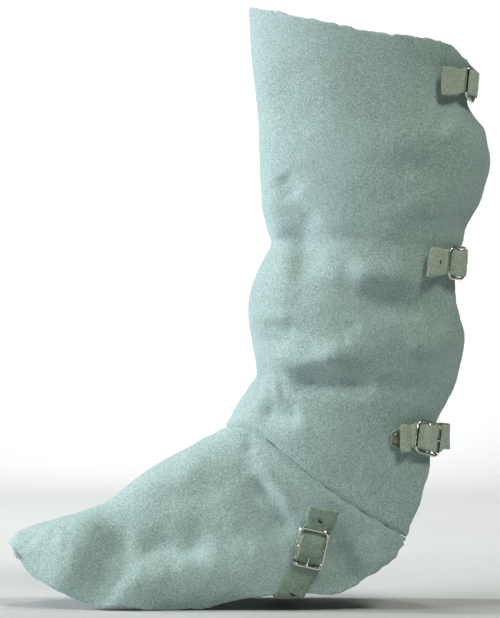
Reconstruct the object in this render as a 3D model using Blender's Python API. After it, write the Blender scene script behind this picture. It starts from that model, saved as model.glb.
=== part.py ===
"""Welder's leather spat for the left leg, as a solid model.

A stiff chrome-split leather shaft is wrapped round the lower leg and left
open down the back.  A foot flap (vamp) is seamed to its lower end and covers
the instep and the toe.  Three strap-and-buckle closures draw the open back
together, and one strap with the same kind of buckle passes under the instep.

Frame: +Z up, toe towards -Y, wearer's outer side (the buckles) towards +X.
The origin is the middle of the leg tube at the middle closure's level.
All sizes are in metres.
"""
import math

import bmesh
import bpy
import numpy as np
from mathutils import Vector

for old in list(bpy.data.objects):
    bpy.data.objects.remove(old, do_unlink=True)

MM = 0.001
DEG = math.pi / 180.0

# ---------------------------------------------------------------- sizes
WALL = 1.8 * MM            # split leather of shaft and vamp
SEAM_GAP = 0.35 * MM       # between shaft and vamp along the seam
EGG = 0.08                 # how much narrower the front of a ring is than its back

STRAP_T = 1.8 * MM         # strap leather
CHAPE_T = 1.1 * MM         # one layer of the folded chape
CHAPE_SPLIT = 0.2 * MM     # between the chape's two layers
CLEAR = 0.5 * MM           # a strap's or chape's height over the panel it lies on
GAP = 0.3 * MM             # leather to metal

WIRE_R = 0.95 * MM         # buckle wire
PRONG_R = 0.70 * MM
BACK_CORNER = (4.2 * MM, 3.4 * MM)      # buckles' oval corners, along and across
FOOT_CORNER = (3.0 * MM, 3.0 * MM)
BACK_PLAY = 2.3 * MM        # strap's total play between the side bars
FOOT_PLAY = 1.2 * MM
FLARE_BACK, FLARE_FOOT = 0.16, 0.19         # how much wider a strap lies once out of its buckle
FOOT_TURN, FOOT_SKEW = -8.0 * DEG, -0.20    # foot buckle's lean, and its strap's slanted end
RIVET_R = 3.6 * MM
RIVET_H = 1.15 * MM
RIVET_AT = 21.5 * MM       # chape rivet, from the centre bar
CHAPE_END = 25.0 * MM      # chape's closed end, from the centre bar
HOLE_R = 1.5 * MM          # punched adjusting hole

BACK_W, BACK_L = 22.9 * MM, 24.0 * MM      # back buckles, over the wire
FOOT_W, FOOT_L = 20.6 * MM, 26.5 * MM      # foot buckle, over the wire

SHAFT_STEPS, SHAFT_AROUND = 40, 28         # mesh divisions of the shaft
VAMP_STEPS, VAMP_AROUND = 26, 28           # of the vamp, matched along the seam

# One row for each ring of the shaft, from the top edge down to the seam.
# A ring starts at the front of the shin, passes round both sides and ends at
# the rear corners; its plane runs from the front point to the rear point.
# front_y front_z  rear_y  rear_z  half_width open_deg rise  peak     (mm, deg)
SHAFT_RINGS = (
    (-77.3, 170.8, 71.7, 130.3, 62.0, 171.0, 8.5, 0.0),   # top edge
    (-76.3, 149.9, 70.9, 118.2, 62.5, 170.0, 5.0, 0.0),
    (-74.2, 124.2, 69.9, 106.7, 63.0, 169.0, 2.0, 0.0),    # upper closure
    (-71.6, 101.2, 73.5, 95.2, 63.5, 168.0, 0.0, 0.0),
    (-70.5, 82.4, 80.9, 79.8, 64.0, 168.0, 0.0, 0.0),
    (-69.5, 62.1, 84.6, 65.0, 64.0, 168.0, 0.0, 0.0),      # calf
    (-66.8, 41.8, 78.8, 42.1, 62.0, 167.0, 0.0, 0.0),
    (-62.8, 24.3, 69.3, 23.9, 59.0, 164.0, 0.0, 0.0),
    (-60.1, 14.2, 66.5, 13.8, 57.0, 161.0, 0.0, 0.0),      # pinched waist
    (-66.2, 4.1, 63.2, 3.7, 57.5, 157.0, 0.0, 0.0),        # middle closure
    (-73.6, -12.2, 60.4, -12.3, 59.0, 155.0, 0.0, 0.0),
    (-77.0, -28.4, 61.8, -27.0, 60.0, 156.0, 0.0, 0.0),
    (-77.0, -43.2, 65.0, -43.8, 60.5, 160.0, 0.0, 0.0),
    (-74.9, -56.7, 66.5, -55.2, 60.0, 163.0, 0.0, 0.0),
    (-71.6, -74.2, 63.8, -71.3, 58.0, 162.0, 0.0, 0.0),    # bend above the ankle
    (-77.0, -83.7, 60.3, -83.3, 57.0, 159.0, 0.0, 0.0),
    (-83.0, -91.8, 54.2, -94.6, 56.0, 156.0, 0.0, 0.9),
    (-87.1, -99.2, 47.3, -106.6, 55.5, 152.0, 0.0, 2.6),   # lower closure
    (-89.8, -105.3, 42.4, -127.1, 55.5, 145.0, 0.0, 5.4),
    (-91.8, -109.4, 40.4, -148.7, 56.0, 136.0, 0.0, 8.1),
    (-93.2, -112.1, 27.8, -183.2, 56.0, 124.0, 0.0, 10.3),  # seam
)

# One row for each rib of the vamp, from the seam to the toe.  A rib starts on
# the crest of the instep and ends on the lower hem (or the raw rear edge).
# crest_y crest_z  hem_y   hem_z  half_width open_deg rise  peak     (mm, deg)
VAMP_RIBS = (
    (-93.2, -112.1, 27.8, -183.2, 56.0, 124.0, 0.0, 10.3),  # seam
    (-98.6, -115.4, 20.3, -194.5, 57.0, 116.0, 0.0, 7.1),
    (-106.7, -118.8, 4.3, -206.8, 58.0, 108.0, 0.0, 3.9),
    (-116.8, -124.9, -16.9, -219.2, 59.0, 101.0, 0.0, 2.2),
    (-128.9, -131.0, -40.7, -219.0, 60.0, 95.0, 0.0, 1.0),  # instep strap
    (-140.4, -137.7, -63.1, -220.2, 61.0, 90.0, 0.0, 0.0),
    (-149.9, -144.5, -84.2, -222.8, 62.0, 87.0, 0.0, 0.0),
    (-158.6, -151.2, -103.9, -227.3, 63.5, 84.0, 0.0, 0.0),
    (-168.1, -158.6, -123.7, -228.3, 64.5, 82.0, 0.0, 0.0),  # ball of the foot
    (-178.9, -165.4, -142.1, -229.6, 64.5, 80.0, 0.0, 0.0),
    (-191.0, -171.5, -160.6, -227.1, 63.0, 80.0, 0.0, 0.0),
    (-204.5, -173.8, -176.6, -228.0, 59.0, 80.0, 0.0, 0.0),
    (-216.7, -176.2, -192.7, -222.9, 53.0, 80.0, 0.0, 0.0),
    (-226.1, -179.6, -208.9, -215.4, 46.0, 80.0, 0.0, 0.0),
    (-232.9, -182.2, -222.6, -208.0, 38.0, 80.0, 0.0, 0.0),
    (-238.8, -188.0, -232.5, -194.5, 29.0, 82.0, 0.0, 0.0),  # toe edge
)

# The folds: a soft trough (depth < 0) or ridge (depth > 0) along a line of
# three points seen from the side.  side: 1 outer, -1 inner, 0 right round.
# side  y0  z0   y1  z1   y2  z2  width depth                         (mm)
SHAFT_CREASES = (
    (1, -16, -8, 10, -12, 35, -7, 9.5, 5.6),     # roll under the waist
    (1, -6, -20, 18, -28, 44, -30, 10.5, -5.8),   # dent below it
    (1, -12, -38, -10, -46, -8, -56, 7.0, -1.5),  # front end of the dent
    (1, 22, -53, 44, -54, 62, -51, 10.0, 4.2),    # roll at the rear
    (0, -71, -36, -60, -38, -46, -38, 5.0, 1.8),  # crest over the shin crease
    (0, -70, -42, -62, -44, -45, -46, 3.8, -2.4),  # shin crease
    (0, -74, -50, -64, -52, -50, -54, 4.2, -2.4),  # second shin crease
    (1, -68, -70, -36, -66, 2, -60, 11.0, 7.0),   # long roll
    (1, -14, -55, -3, -50, 5, -44, 14.0, 2.5),    # its upper end
    (1, -52, -77, -26, -79, 10, -82, 8.0, -6.0),  # trough under the roll
    (1, 6, -82, 28, -84, 50, -85, 8.0, -2.6),   # trough fading out
    (0, -69, -82, -65, -84, -54, -84, 9.0, 2.4),  # front crest
    (0, -74, -97, -60, -102, -40, -101, 10.0, -4.2),  # front trough
    (1, -59, -113, -46, -113, -31, -116, 9.0, 1.0),  # swell below it
    (1, -48, -128, -6, -132, 14, -151, 14.0, 1.3),  # fullness over the seam
    (0, -66, 52, -53, 14, -52, -20, 7.5, 4.6),    # waist, upright ridge
    (1, -44, 50, -40, 12, -42, -18, 11.0, -3.6),  # beside that ridge
    (1, -59, 57, -54, 52, -46, 42, 8.0, -3.6),    # dent on the shin
    (1, 48, 92, 62, 84, 84, 80, 13.0, 5.0),       # calf roll
    (1, 8, 80, 26, 80, 48, 80, 10.0, 2.0),        # its front end
    (1, 12, 60, 34, 60, 60, 58, 11.0, -2.0),      # under the calf roll
    (1, 4, 156, 36, 150, 70, 140, 15.0, 4.5),     # flare of the top edge
    (1, 14, 38, 16, 26, 18, 10, 12.0, 1.8),       # small swell over the middle strap
    (1, 34, 48, 40, 36, 42, 26, 12.0, 2.0),       # swell at the rear edge
    (1, 32, -108, 44, -128, 42, -150, 16.0, 2.5),  # rear corner
    (1, -50, 135, -46, 102, -42, 78, 18.0, -1.5),  # flat of the shin
    # inner side: the same kind of folds, lying a little differently
    (-1, -26, -4, 6, -8, 40, -4, 8.0, 3.6),
    (-1, -22, -23, 10, -28, 40, -30, 9.5, -4.8),
    (-1, 4, -50, 34, -54, 62, -50, 9.0, 2.8),
    (-1, -60, -60, -28, -63, 8, -62, 8.0, 4.0),
    (-1, -52, -80, -10, -84, 34, -80, 8.5, -4.2),
    (-1, -38, 52, -34, 20, -36, -8, 9.5, -1.8),
    (-1, 10, 84, 42, 82, 76, 80, 10.0, 1.6),
    (-1, -6, 118, 20, 96, 30, 66, 14.0, -1.6),
    (-1, -40, 132, -36, 108, -40, 84, 13.0, 1.2),
)
VAMP_CREASES = (
    (1, -218, -181, -210, -189, -195, -190, 12.0, 3.2),   # toe swell
    (1, -182, -160, -195, -203, -204, -226, 15.0, 6.0),   # toe crest
    (1, -160, -174, -170, -198, -186, -228, 11.0, -8.0),  # trough behind the toe
    (1, -162, -186, -130, -187, -98, -184, 11.0, -6.2),  # side hollow
    (1, -166, -230, -149, -211, -124, -207, 9.0, 3.6),    # side flare, front
    (1, -130, -207, -110, -203, -88, -196, 10.0, 2.2),    # side flare, rear
    (1, -172, -164, -118, -142, -88, -118, 12.0, 3.6),    # instep band
    (1, -77, -112, -77, -122, -74, -129, 4.6, -3.0),      # peak crease
    (1, -78, -140, -68, -158, -50, -186, 9.0, -6.2),      # crease to the buckle
    (1, -72, -133, -58, -150, -46, -171, 5.0, 2.4),       # ridge beside it
    (1, -98, -150, -90, -166, -80, -180, 12.0, 1.8),      # fullness before it
    (1, -79, -191, -66, -192, -58, -188, 9.0, 2.0),       # bulge by the strap
    (1, -20, -184, -16, -198, -6, -219, 8.5, -6.0),       # fold behind the buckle
    (1, 3, -178, 12, -190, 12, -205, 9.5, 2.8),           # rear swell
    (1, -148, -234, -106, -232, -68, -229, 9.0, -7.5),   # hem turned in
    (1, -130, -214, -90, -207, -66, -208, 9.0, 2.2),      # above the hem
    (1, -32, -138, -14, -149, 2, -161, 8.0, 2.0),         # under the seam
    # inner side
    (-1, -176, -170, -182, -192, -190, -214, 9.0, 2.2),
    (-1, -157, -172, -163, -194, -171, -220, 9.5, -3.8),
    (-1, -156, -198, -126, -190, -86, -184, 10.0, -3.8),
    (-1, -154, -219, -122, -212, -78, -208, 10.0, 3.2),
    (-1, -80, -114, -74, -134, -62, -158, 6.0, -3.0),
    (-1, -66, -128, -52, -148, -36, -166, 6.0, 2.0),
    (-1, -20, -178, -12, -194, -6, -208, 6.0, -2.6),
)

# One row for each back closure.
# level: height of the strap; bar_in: centre bar ahead of the rear edge;
# tail: end of the strap from the centre bar; turn: the frame's lean (mm, deg)
# name      level   bar_in  tail   rivet_past_far_edge  turn
CLOSURES = (
    ("upper", 119.0, 13.5, 32.5, 12.0, 9.0),
    ("middle", -0.5, 8.5, 27.0, 12.0, 2.0),
    ("lower", -117.5, 9.7, 20.8, 12.0, 11.0),
)

# Centre line of the foot strap on the vamp's outer side, from its tail down
# to the hem; the buckle's centre bar sits at the row marked as bar.
#  y      z
FOOT_LINE = (
    (-27.0, -164.7),   # tail end
    (-32.0, -179.5),
    (-35.9, -189.7),   # bar
    (-39.0, -198.5),
    (-43.3, -207.2),
    (-49.5, -218.6),   # hem
)
FOOT_BAR_Y, FOOT_BAR_Z = -35.9, -189.7
FOOT_UNDER_Z = -221.0      # upper face of the strap under the foot
FOOT_FAR_TOP = 24.0        # how far it climbs the inner side of the vamp


# ------------------------------------------------------------ materials
def material(name, rgb, rough, metal):
    m = bpy.data.materials.new(name)
    m.use_nodes = True
    p = m.node_tree.nodes["Principled BSDF"]
    p.inputs["Base Color"].default_value = (*rgb, 1.0)
    p.inputs["Roughness"].default_value = rough
    p.inputs["Metallic"].default_value = metal
    m.diffuse_color = (*rgb, 1.0)
    return m


SUEDE = {"shaft": (0.36, 0.47, 0.46), "vamp": (0.40, 0.51, 0.50)}
STRAP_RGB = (0.24, 0.29, 0.24)
NICKEL_RGB = (0.80, 0.78, 0.74)


# ------------------------------------------------- surfaces of the leather
def rows(table, k):
    """Smooth curve through the table's rows, read at row numbers k."""
    t_all = np.array(table)
    t_all[:, [0, 1, 2, 3, 4, 6, 7]] *= MM
    t_all[:, 5] *= DEG
    n = len(t_all)
    k = np.clip(np.asarray(k, float), 0.0, n - 1.0)
    i = np.minimum(k.astype(int), n - 2)
    t = (k - i)[..., None]
    p0, p1 = t_all[np.maximum(i - 1, 0)], t_all[i]
    p2, p3 = t_all[i + 1], t_all[np.minimum(i + 2, n - 1)]
    return 0.5 * (2 * p1 + (p2 - p0) * t + (2 * p0 - 5 * p1 + 4 * p2 - p3) * t ** 2
                  + (3 * p1 - p0 - 3 * p2 + p3) * t ** 3)


def ring_point(row, th):
    """Point of a ring at angle th from its front (0) towards the outer side."""
    fy, fz, ry, rz, half, open_, rise, peak = np.moveaxis(row, -1, 0)
    share = (1 - np.cos(th)) / (1 - np.cos(open_))
    in_ = np.minimum(share, 1.0)
    y = fy + (ry - fy) * share
    z = (fz + (rz - fz) * share + rise * np.sin(math.pi * in_ ** 4)
         + peak * 13.6 * in_ * (1 - in_) ** 4.5)
    x = half * np.sin(th) * (1 - EGG * np.cos(th))
    return np.stack([x, y, z], -1)


def fold_height(folds, p):
    out = np.zeros(p.shape[:-1])
    for side, y0, z0, y1, z1, y2, z2, width, depth in folds:
        pts = np.array([(y0, z0), (y1, z1), (y2, z2)]) * MM
        width, depth = width * MM, depth * MM
        legs = [np.linalg.norm(pts[1] - pts[0]), np.linalg.norm(pts[2] - pts[1])]
        best, along, start = None, None, 0.0
        for a, b, leg in ((pts[0], pts[1], legs[0]), (pts[1], pts[2], legs[1])):
            d = b - a
            t = np.clip(((p[..., 1] - a[0]) * d[0] + (p[..., 2] - a[1]) * d[1]) / (leg * leg), 0, 1)
            q = np.hypot(p[..., 1] - a[0] - t * d[0], p[..., 2] - a[1] - t * d[1])
            u = (start + t * leg) / sum(legs)
            if best is None:
                best, along = q, u
            else:
                near = q < best
                best, along = np.where(near, q, best), np.where(near, u, along)
            start += leg
        w = 1.0 if side == 0 else np.clip((side * p[..., 0] + 4 * MM) / (16 * MM), 0, 1)
        ends = np.clip(np.minimum(along, 1 - along) / 0.30, 0, 1)
        ends = 0.25 + 0.75 * ends * ends * (3 - 2 * ends)
        out += depth * np.exp(-(best / width) ** 2) * w * w * (3 - 2 * w) * ends
    return out


def surface(table, folds, k, th, lift=0.0):
    """Point over the leather's outer face, lifted off it by lift."""
    k, th, lift = np.broadcast_arrays(np.asarray(k, float), th, lift)
    last = len(table) - 1
    dk, dt = 0.03, 0.01
    p = ring_point(rows(table, k), th)
    a = (ring_point(rows(table, np.clip(k + dk, 0, last)), th)
         - ring_point(rows(table, np.clip(k - dk, 0, last)), th))
    row = rows(table, k)
    b = ring_point(row, th + dt) - ring_point(row, th - dt)
    n = np.cross(a, b)
    n /= np.linalg.norm(n, axis=-1, keepdims=True)
    return p + n * (fold_height(folds, p) + lift)[..., None]


def shaft(k, th, lift=0.0):
    return surface(SHAFT_RINGS, SHAFT_CREASES, k, th, lift)


def vamp(k, th, lift=0.0):
    return surface(VAMP_RIBS, VAMP_CREASES, k, th, lift)


def panel(fn, table, k_from, k_to, steps, around):
    """Outer and inner grids of one panel between two of its rings."""
    k = np.linspace(k_from, k_to, steps + 1)[:, None]
    share = np.linspace(-1, 1, around + 1)[None, :]
    th = share * rows(table, k[:, 0])[:, 5][:, None]
    return fn(k, th), fn(k, th, -WALL)


# ----------------------------------------------------------- mesh helpers
def make_object(name, mesh, mat, smooth=50.0):
    obj = bpy.data.objects.new(name, mesh)
    bpy.context.collection.objects.link(obj)
    mesh.materials.append(mat)
    mesh.shade_smooth()
    mesh.set_sharp_from_angle(angle=smooth * DEG)
    return obj


def finish_mesh(name, bm):
    bmesh.ops.remove_doubles(bm, verts=bm.verts, dist=1e-7)
    bmesh.ops.recalc_face_normals(bm, faces=bm.faces)
    mesh = bpy.data.meshes.new(name)
    bm.to_mesh(mesh)
    bm.free()
    return mesh


def sheet_mesh(name, outer, inner):
    """Closed sheet between two matching grids of points."""
    nr, nc = outer.shape[:2]
    bm = bmesh.new()
    top = [[bm.verts.new(outer[i, j]) for j in range(nc)] for i in range(nr)]
    low = [[bm.verts.new(inner[i, j]) for j in range(nc)] for i in range(nr)]
    for i in range(nr - 1):
        for j in range(nc - 1):
            bm.faces.new((top[i][j], top[i + 1][j], top[i + 1][j + 1], top[i][j + 1]))
            bm.faces.new((low[i][j + 1], low[i + 1][j + 1], low[i + 1][j], low[i][j]))
    for i in range(nr - 1):
        bm.faces.new((top[i + 1][0], top[i][0], low[i][0], low[i + 1][0]))
        bm.faces.new((top[i][-1], top[i + 1][-1], low[i + 1][-1], low[i][-1]))
    for j in range(nc - 1):
        bm.faces.new((top[0][j], top[0][j + 1], low[0][j + 1], low[0][j]))
        bm.faces.new((top[-1][j + 1], top[-1][j], low[-1][j], low[-1][j + 1]))
    return finish_mesh(name, bm)


def grid_normals(g):
    n = np.cross(np.gradient(g, axis=0), np.gradient(g, axis=1))
    return n / np.linalg.norm(n, axis=-1, keepdims=True)


def band_mesh(name, low, thick):
    """Band of leather on a grid of points, its rows run from the tail on."""
    n = -grid_normals(low)
    return sheet_mesh(name, low + n * thick, low)


def tube_mesh(name, pts, radius, sides, closed=False):
    """Wire of round section along a run of points."""
    pts = [Vector(p) for p in pts]
    count = len(pts)
    bm = bmesh.new()
    ref = None
    loops = []
    for i, p in enumerate(pts):
        before = pts[i - 1] if (i or closed) else p
        after = pts[(i + 1) % count] if (i < count - 1 or closed) else p
        t = (after - before).normalized()
        if ref is None:
            ref = t.orthogonal().normalized()
        ref = (ref - t * ref.dot(t)).normalized()
        other = t.cross(ref)
        loops.append([bm.verts.new(p + (ref * math.cos(a) + other * math.sin(a)) * radius)
                      for a in (2 * math.pi * s / sides for s in range(sides))])
    runs = list(zip(loops, loops[1:]))
    if closed:
        # the planar loop closes on itself without twist
        runs.append((loops[-1], loops[0]))
    for one, two in runs:
        for s in range(sides):
            q = (s + 1) % sides
            bm.faces.new((one[s], one[q], two[q], two[s]))
    if not closed:
        bm.faces.new(loops[0][::-1])
        bm.faces.new(loops[-1])
    return finish_mesh(name, bm)


def smooth_run(pts, per):
    """Catmull-Rom curve through points, per samples for each stretch."""
    pts = np.asarray(pts, float)
    n = len(pts)
    u = np.linspace(0, n - 1, (n - 1) * per + 1)
    i = np.minimum(u.astype(int), n - 2)
    t = (u - i).reshape((-1,) + (1,) * (pts.ndim - 1))
    p0, p1 = pts[np.maximum(i - 1, 0)], pts[i]
    p2, p3 = pts[i + 1], pts[np.minimum(i + 2, n - 1)]
    return 0.5 * (2 * p1 + (p2 - p0) * t + (2 * p0 - 5 * p1 + 4 * p2 - p3) * t ** 2
                  + (3 * p1 - p0 - 3 * p2 + p3) * t ** 3)


def cut(obj, cutter):
    """Take the cutter's shape out of the object."""
    cutter.hide_render = True
    cutter.display_type = "WIRE"
    mod = obj.modifiers.new("cut_" + cutter.name, "BOOLEAN")
    mod.operation = "DIFFERENCE"
    mod.solver = "EXACT"
    mod.object = cutter


def join_with(obj, other):
    """Fuse another solid into the object."""
    other.hide_render = True
    other.display_type = "WIRE"
    mod = obj.modifiers.new("join_" + other.name, "BOOLEAN")
    mod.operation = "UNION"
    mod.solver = "EXACT"
    mod.object = other


def unit(v):
    return np.asarray(v, float) / np.linalg.norm(v)


class Frame:
    """Local axes of a buckle: t towards the strap's tail, w across, n out."""

    def __init__(self, origin, t, n):
        self.o = np.asarray(origin, float)
        self.t = unit(t)
        self.w = unit(np.cross(n, self.t))
        self.n = np.cross(self.t, self.w)

    def at(self, s, w, n):
        return self.o + self.t * s + self.w * w + self.n * n


def box_cutter(name, fr, s0, s1, w, n0, n1):
    bm = bmesh.new()
    v = [bm.verts.new(fr.at(s, a, n)) for s in (s0, s1) for a in (-w, w) for n in (n0, n1)]
    for f in ((0, 1, 3, 2), (4, 6, 7, 5), (0, 4, 5, 1), (2, 3, 7, 6), (0, 2, 6, 4), (1, 5, 7, 3)):
        bm.faces.new([v[i] for i in f])
    return make_object(name, finish_mesh(name, bm), CUTTER)


def pin_cutter(name, origin, axis, radius, half):
    a = Vector(axis).normalized()
    o = Vector(origin)
    return make_object(name, tube_mesh(name, [o - a * half, o + a * half], radius, 12), CUTTER)


def rivet(name, origin, axis):
    """Low domed rivet head whose flat side lies at origin, facing along axis."""
    a = Vector(axis).normalized()
    u = a.orthogonal().normalized()
    v = a.cross(u)
    o = Vector(origin)
    bm = bmesh.new()
    loops = []
    for share in (0.0, 0.35, 0.7, 0.92):
        r = RIVET_R * math.sqrt(1 - share * share) * (1.0 if share else 0.97)
        h = RIVET_H * share
        loops.append([bm.verts.new(o + a * h + (u * math.cos(q) + v * math.sin(q)) * r)
                      for q in (2 * math.pi * s / 14 for s in range(14))])
    for one, two in zip(loops, loops[1:]):
        for s in range(14):
            bm.faces.new((one[s], one[(s + 1) % 14], two[(s + 1) % 14], two[s]))
    bm.faces.new(loops[0][::-1])
    tip = bm.verts.new(o + a * RIVET_H)
    for s in range(14):
        bm.faces.new((loops[-1][s], loops[-1][(s + 1) % 14], tip))
    return make_object(name, finish_mesh(name, bm), material(name, NICKEL_RGB, 0.25, 1.0))


CUTTER = material("cutter", (1, 0, 0), 0.5, 0.0)


# --------------------------------------------------------------- panels
SEAM_ROW = len(SHAFT_RINGS) - 1
outer, inner = panel(shaft, SHAFT_RINGS, 0, SEAM_ROW, SHAFT_STEPS, SHAFT_AROUND)
make_object("shaft", sheet_mesh("shaft", outer, inner),
            material("suede_shaft", SUEDE["shaft"], 0.95, 0.0), 80)

# The vamp starts a seam gap below the shaft's lower edge: its first row is
# the shaft's last one moved along the shaft's own surface.
outer_v, inner_v = panel(vamp, VAMP_RIBS, 0, len(VAMP_RIBS) - 1, VAMP_STEPS, VAMP_AROUND)
share = np.linspace(-1, 1, VAMP_AROUND + 1)
th_seam = share * rows(SHAFT_RINGS, SEAM_ROW)[5]
edge, edge_in = shaft(SEAM_ROW, th_seam), shaft(SEAM_ROW, th_seam, -WALL)
for grid, line in ((outer_v, edge), (inner_v, edge_in)):
    along = grid[1] - line
    along /= np.linalg.norm(along, axis=-1, keepdims=True)
    grid[0] = line + along * SEAM_GAP
make_object("vamp", sheet_mesh("vamp", outer_v, inner_v),
            material("suede_vamp", SUEDE["vamp"], 0.95, 0.0), 80)


# -------------------------------------------------------------- closures
def strap_stations(base, fr, half, tail, w_run, flare, skew=0.0):
    """Underside of the strap from its tail to just past the load-side bar.

    It dives under the tail-side bar, climbs over the centre bar with the
    chape on it, and dives under the load-side bar.
    """
    below = -(WIRE_R + GAP + STRAP_T)
    over = WIRE_R + 2.0 * MM
    seat = CLEAR + 2 * CHAPE_T + CHAPE_SPLIT + 2 * GAP      # over the chape
    out = []
    for share in (1.0, 0.8, 0.6, 0.4, 0.2):
        s = half + (tail - half) * share
        lift = seat + (1.3 + 1.0 * share) * MM * min(1.0, max(0.0, share - 0.2) * 2.5)
        wide = 1 + flare * min(1.0, 1.6 * share)
        out.append([base(s + skew * w * share, w * wide, lift) for w in w_run])
    for s, n in ((half + 0.8 * MM, below), (half - 1.3 * MM, below + 0.1 * MM),
                 (half * 0.62, below * 0.45), (half * 0.30, over * 0.80),
                 (0.0, over), (-half * 0.32, over * 0.90), (-half * 0.60, over * 0.05),
                 (-half + 1.6 * MM, below + 0.1 * MM), (-half - 0.8 * MM, below)):
        out.append([fr.at(s, w, n) for w in w_run])
    return out


def buckle_frame(base, half, side, turn=0.0):
    """Axes of the buckle: each outer bar rests over the strap beneath it."""
    up = unit(base(0, 0, 5 * MM) - base(0, 0, 0))
    c, d = math.cos(turn), math.sin(turn)
    ends = []
    for s, under in ((half, CLEAR + 2 * CHAPE_T + CHAPE_SPLIT + GAP + STRAP_T),
                     (-half, CLEAR + STRAP_T)):
        mid = base(s, 0, 0)
        # the strap's highest point under the bar, across its width
        high = max(float(np.dot(base((s + ds) * c + w * d, w * c - (s + ds) * d, under) - mid, up))
                   for w in (-side, -side / 2, 0.0, side / 2, side)
                   for ds in (-WIRE_R, 0.0, WIRE_R))
        ends.append(mid + up * (high + 2 * GAP + WIRE_R))
    flat = Frame((ends[0] + ends[1]) / 2, ends[0] - ends[1], up)
    return Frame(flat.o, flat.t * math.cos(turn) - flat.w * math.sin(turn), flat.n)


def hardware(name, base, fr, width, length, strap_w, strap, corner, hole):
    """Buckle, prong, chape and its rivet round one strap.

    base(s, w, lift) gives points over the leather, with s along the strap
    from the centre bar towards the tail and w across it.
    """
    half = length / 2 - WIRE_R
    side = width / 2 - WIRE_R

    # frame: a rectangle of wire with round corners, and its centre bar
    loop = []
    for cs, cw, a0 in ((1, 1, 0), (-1, 1, 90), (-1, -1, 180), (1, -1, 270)):
        for k in range(5):
            a = (a0 + 22.5 * k) * DEG
            loop.append(fr.at(cs * (half - corner[0]) + corner[0] * math.cos(a),
                              cw * (side - corner[1]) + corner[1] * math.sin(a), 0))
    nickel = material("nickel_" + name, NICKEL_RGB, 0.2, 1.0)
    buckle = make_object(name + "_buckle", tube_mesh(name, loop, WIRE_R, 8, True), nickel)
    bar = make_object(name + "_bar", tube_mesh(
        name + "_bar", [fr.at(0, -side, 0), fr.at(0, side, 0)], WIRE_R * 0.96, 8), nickel)
    join_with(buckle, bar)

    # prong: an eye round the centre bar and a tongue resting on the load side
    eye = WIRE_R + 0.15 * MM + PRONG_R
    run = [fr.at(eye * math.cos(a * DEG), 0, eye * math.sin(a * DEG))
           for a in range(-140, 91, 33)]
    tip = WIRE_R + 0.12 * MM + PRONG_R
    run += [fr.at(-half * 0.4, 0, eye + 0.1 * MM), fr.at(-half * 0.8, 0, tip + 0.15 * MM),
            fr.at(-half - 1.3 * MM, 0, tip + 0.05 * MM)]
    make_object(name + "_prong", tube_mesh(name + "_prong", run, PRONG_R, 8),
                material("prong_" + name, NICKEL_RGB, 0.22, 1.0))

    # chape: a doubled strip folded round the centre bar
    turn = WIRE_R + 0.3 * MM + CHAPE_T / 2
    chape_w = strap_w * 0.80
    mid_lo, mid_hi = CLEAR + CHAPE_T / 2, CLEAR + CHAPE_T * 1.5 + CHAPE_SPLIT
    flat = (CHAPE_END, 20 * MM, 14.5 * MM, 9 * MM)

    def chape_row(kind, v):
        row = []
        for w in (-0.5, 0.0, 0.5):
            # the closed end narrows to a rounded tip round the rivet
            if kind == "turn":
                row.append(fr.at(turn * math.cos(v), w * chape_w, turn * math.sin(v)))
            else:
                s, lift = v
                near_end = max(0.0, (s - 19 * MM) / (CHAPE_END - 19 * MM))
                row.append(base(s, w * chape_w * (1 - 0.45 * near_end ** 2), lift))
        return row

    stations = [chape_row("flat", (s, mid_lo)) for s in flat]
    stations += [chape_row("turn", a * DEG) for a in (-72, -108, -144, -180, -216, -252, -288)]
    stations += [chape_row("flat", (s, mid_hi)) for s in flat[::-1]]
    mid = smooth_run(stations, 2)
    n = grid_normals(mid)
    chape = make_object(name + "_chape", sheet_mesh(
        name + "_chape", mid + n * CHAPE_T / 2, mid - n * CHAPE_T / 2),
        material("chape_" + name, STRAP_RGB, 0.85, 0.0))
    cut(chape, box_cutter(name + "_slot", fr, -4.2 * MM, 4.8 * MM, 1.6 * MM, -4 * MM, 4 * MM))
    seat = CLEAR + 2 * CHAPE_T + CHAPE_SPLIT + GAP
    at = base(RIVET_AT, 0, seat)
    rivet(name + "_chape_rivet", at, at - base(RIVET_AT, 0, 0))

    # the prong's hole through the strap, and the punched hole in its tail
    cut(strap, box_cutter(name + "_prong_hole", fr, -half * 0.88, -half * 0.28,
                          1.2 * MM, -2.5 * MM, 6.5 * MM))
    if hole:
        at = base(half + 6.5 * MM, 0, 0)
        cut(strap, pin_cutter(name + "_hole", at, base(half + 6.5 * MM, 0, 5 * MM) - at,
                              HOLE_R, 11 * MM))


def level_row(th, z):
    """Ring number whose surface meets height z at angle th."""
    th, z = np.broadcast_arrays(np.asarray(th, float), z)
    lo, hi = np.zeros(th.shape), np.full(th.shape, float(SEAM_ROW))
    for _ in range(36):
        m = (lo + hi) / 2
        above = ring_point(rows(SHAFT_RINGS, m), th)[..., 2] > z
        lo, hi = np.where(above, m, lo), np.where(above, hi, m)
    return (lo + hi) / 2


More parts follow.
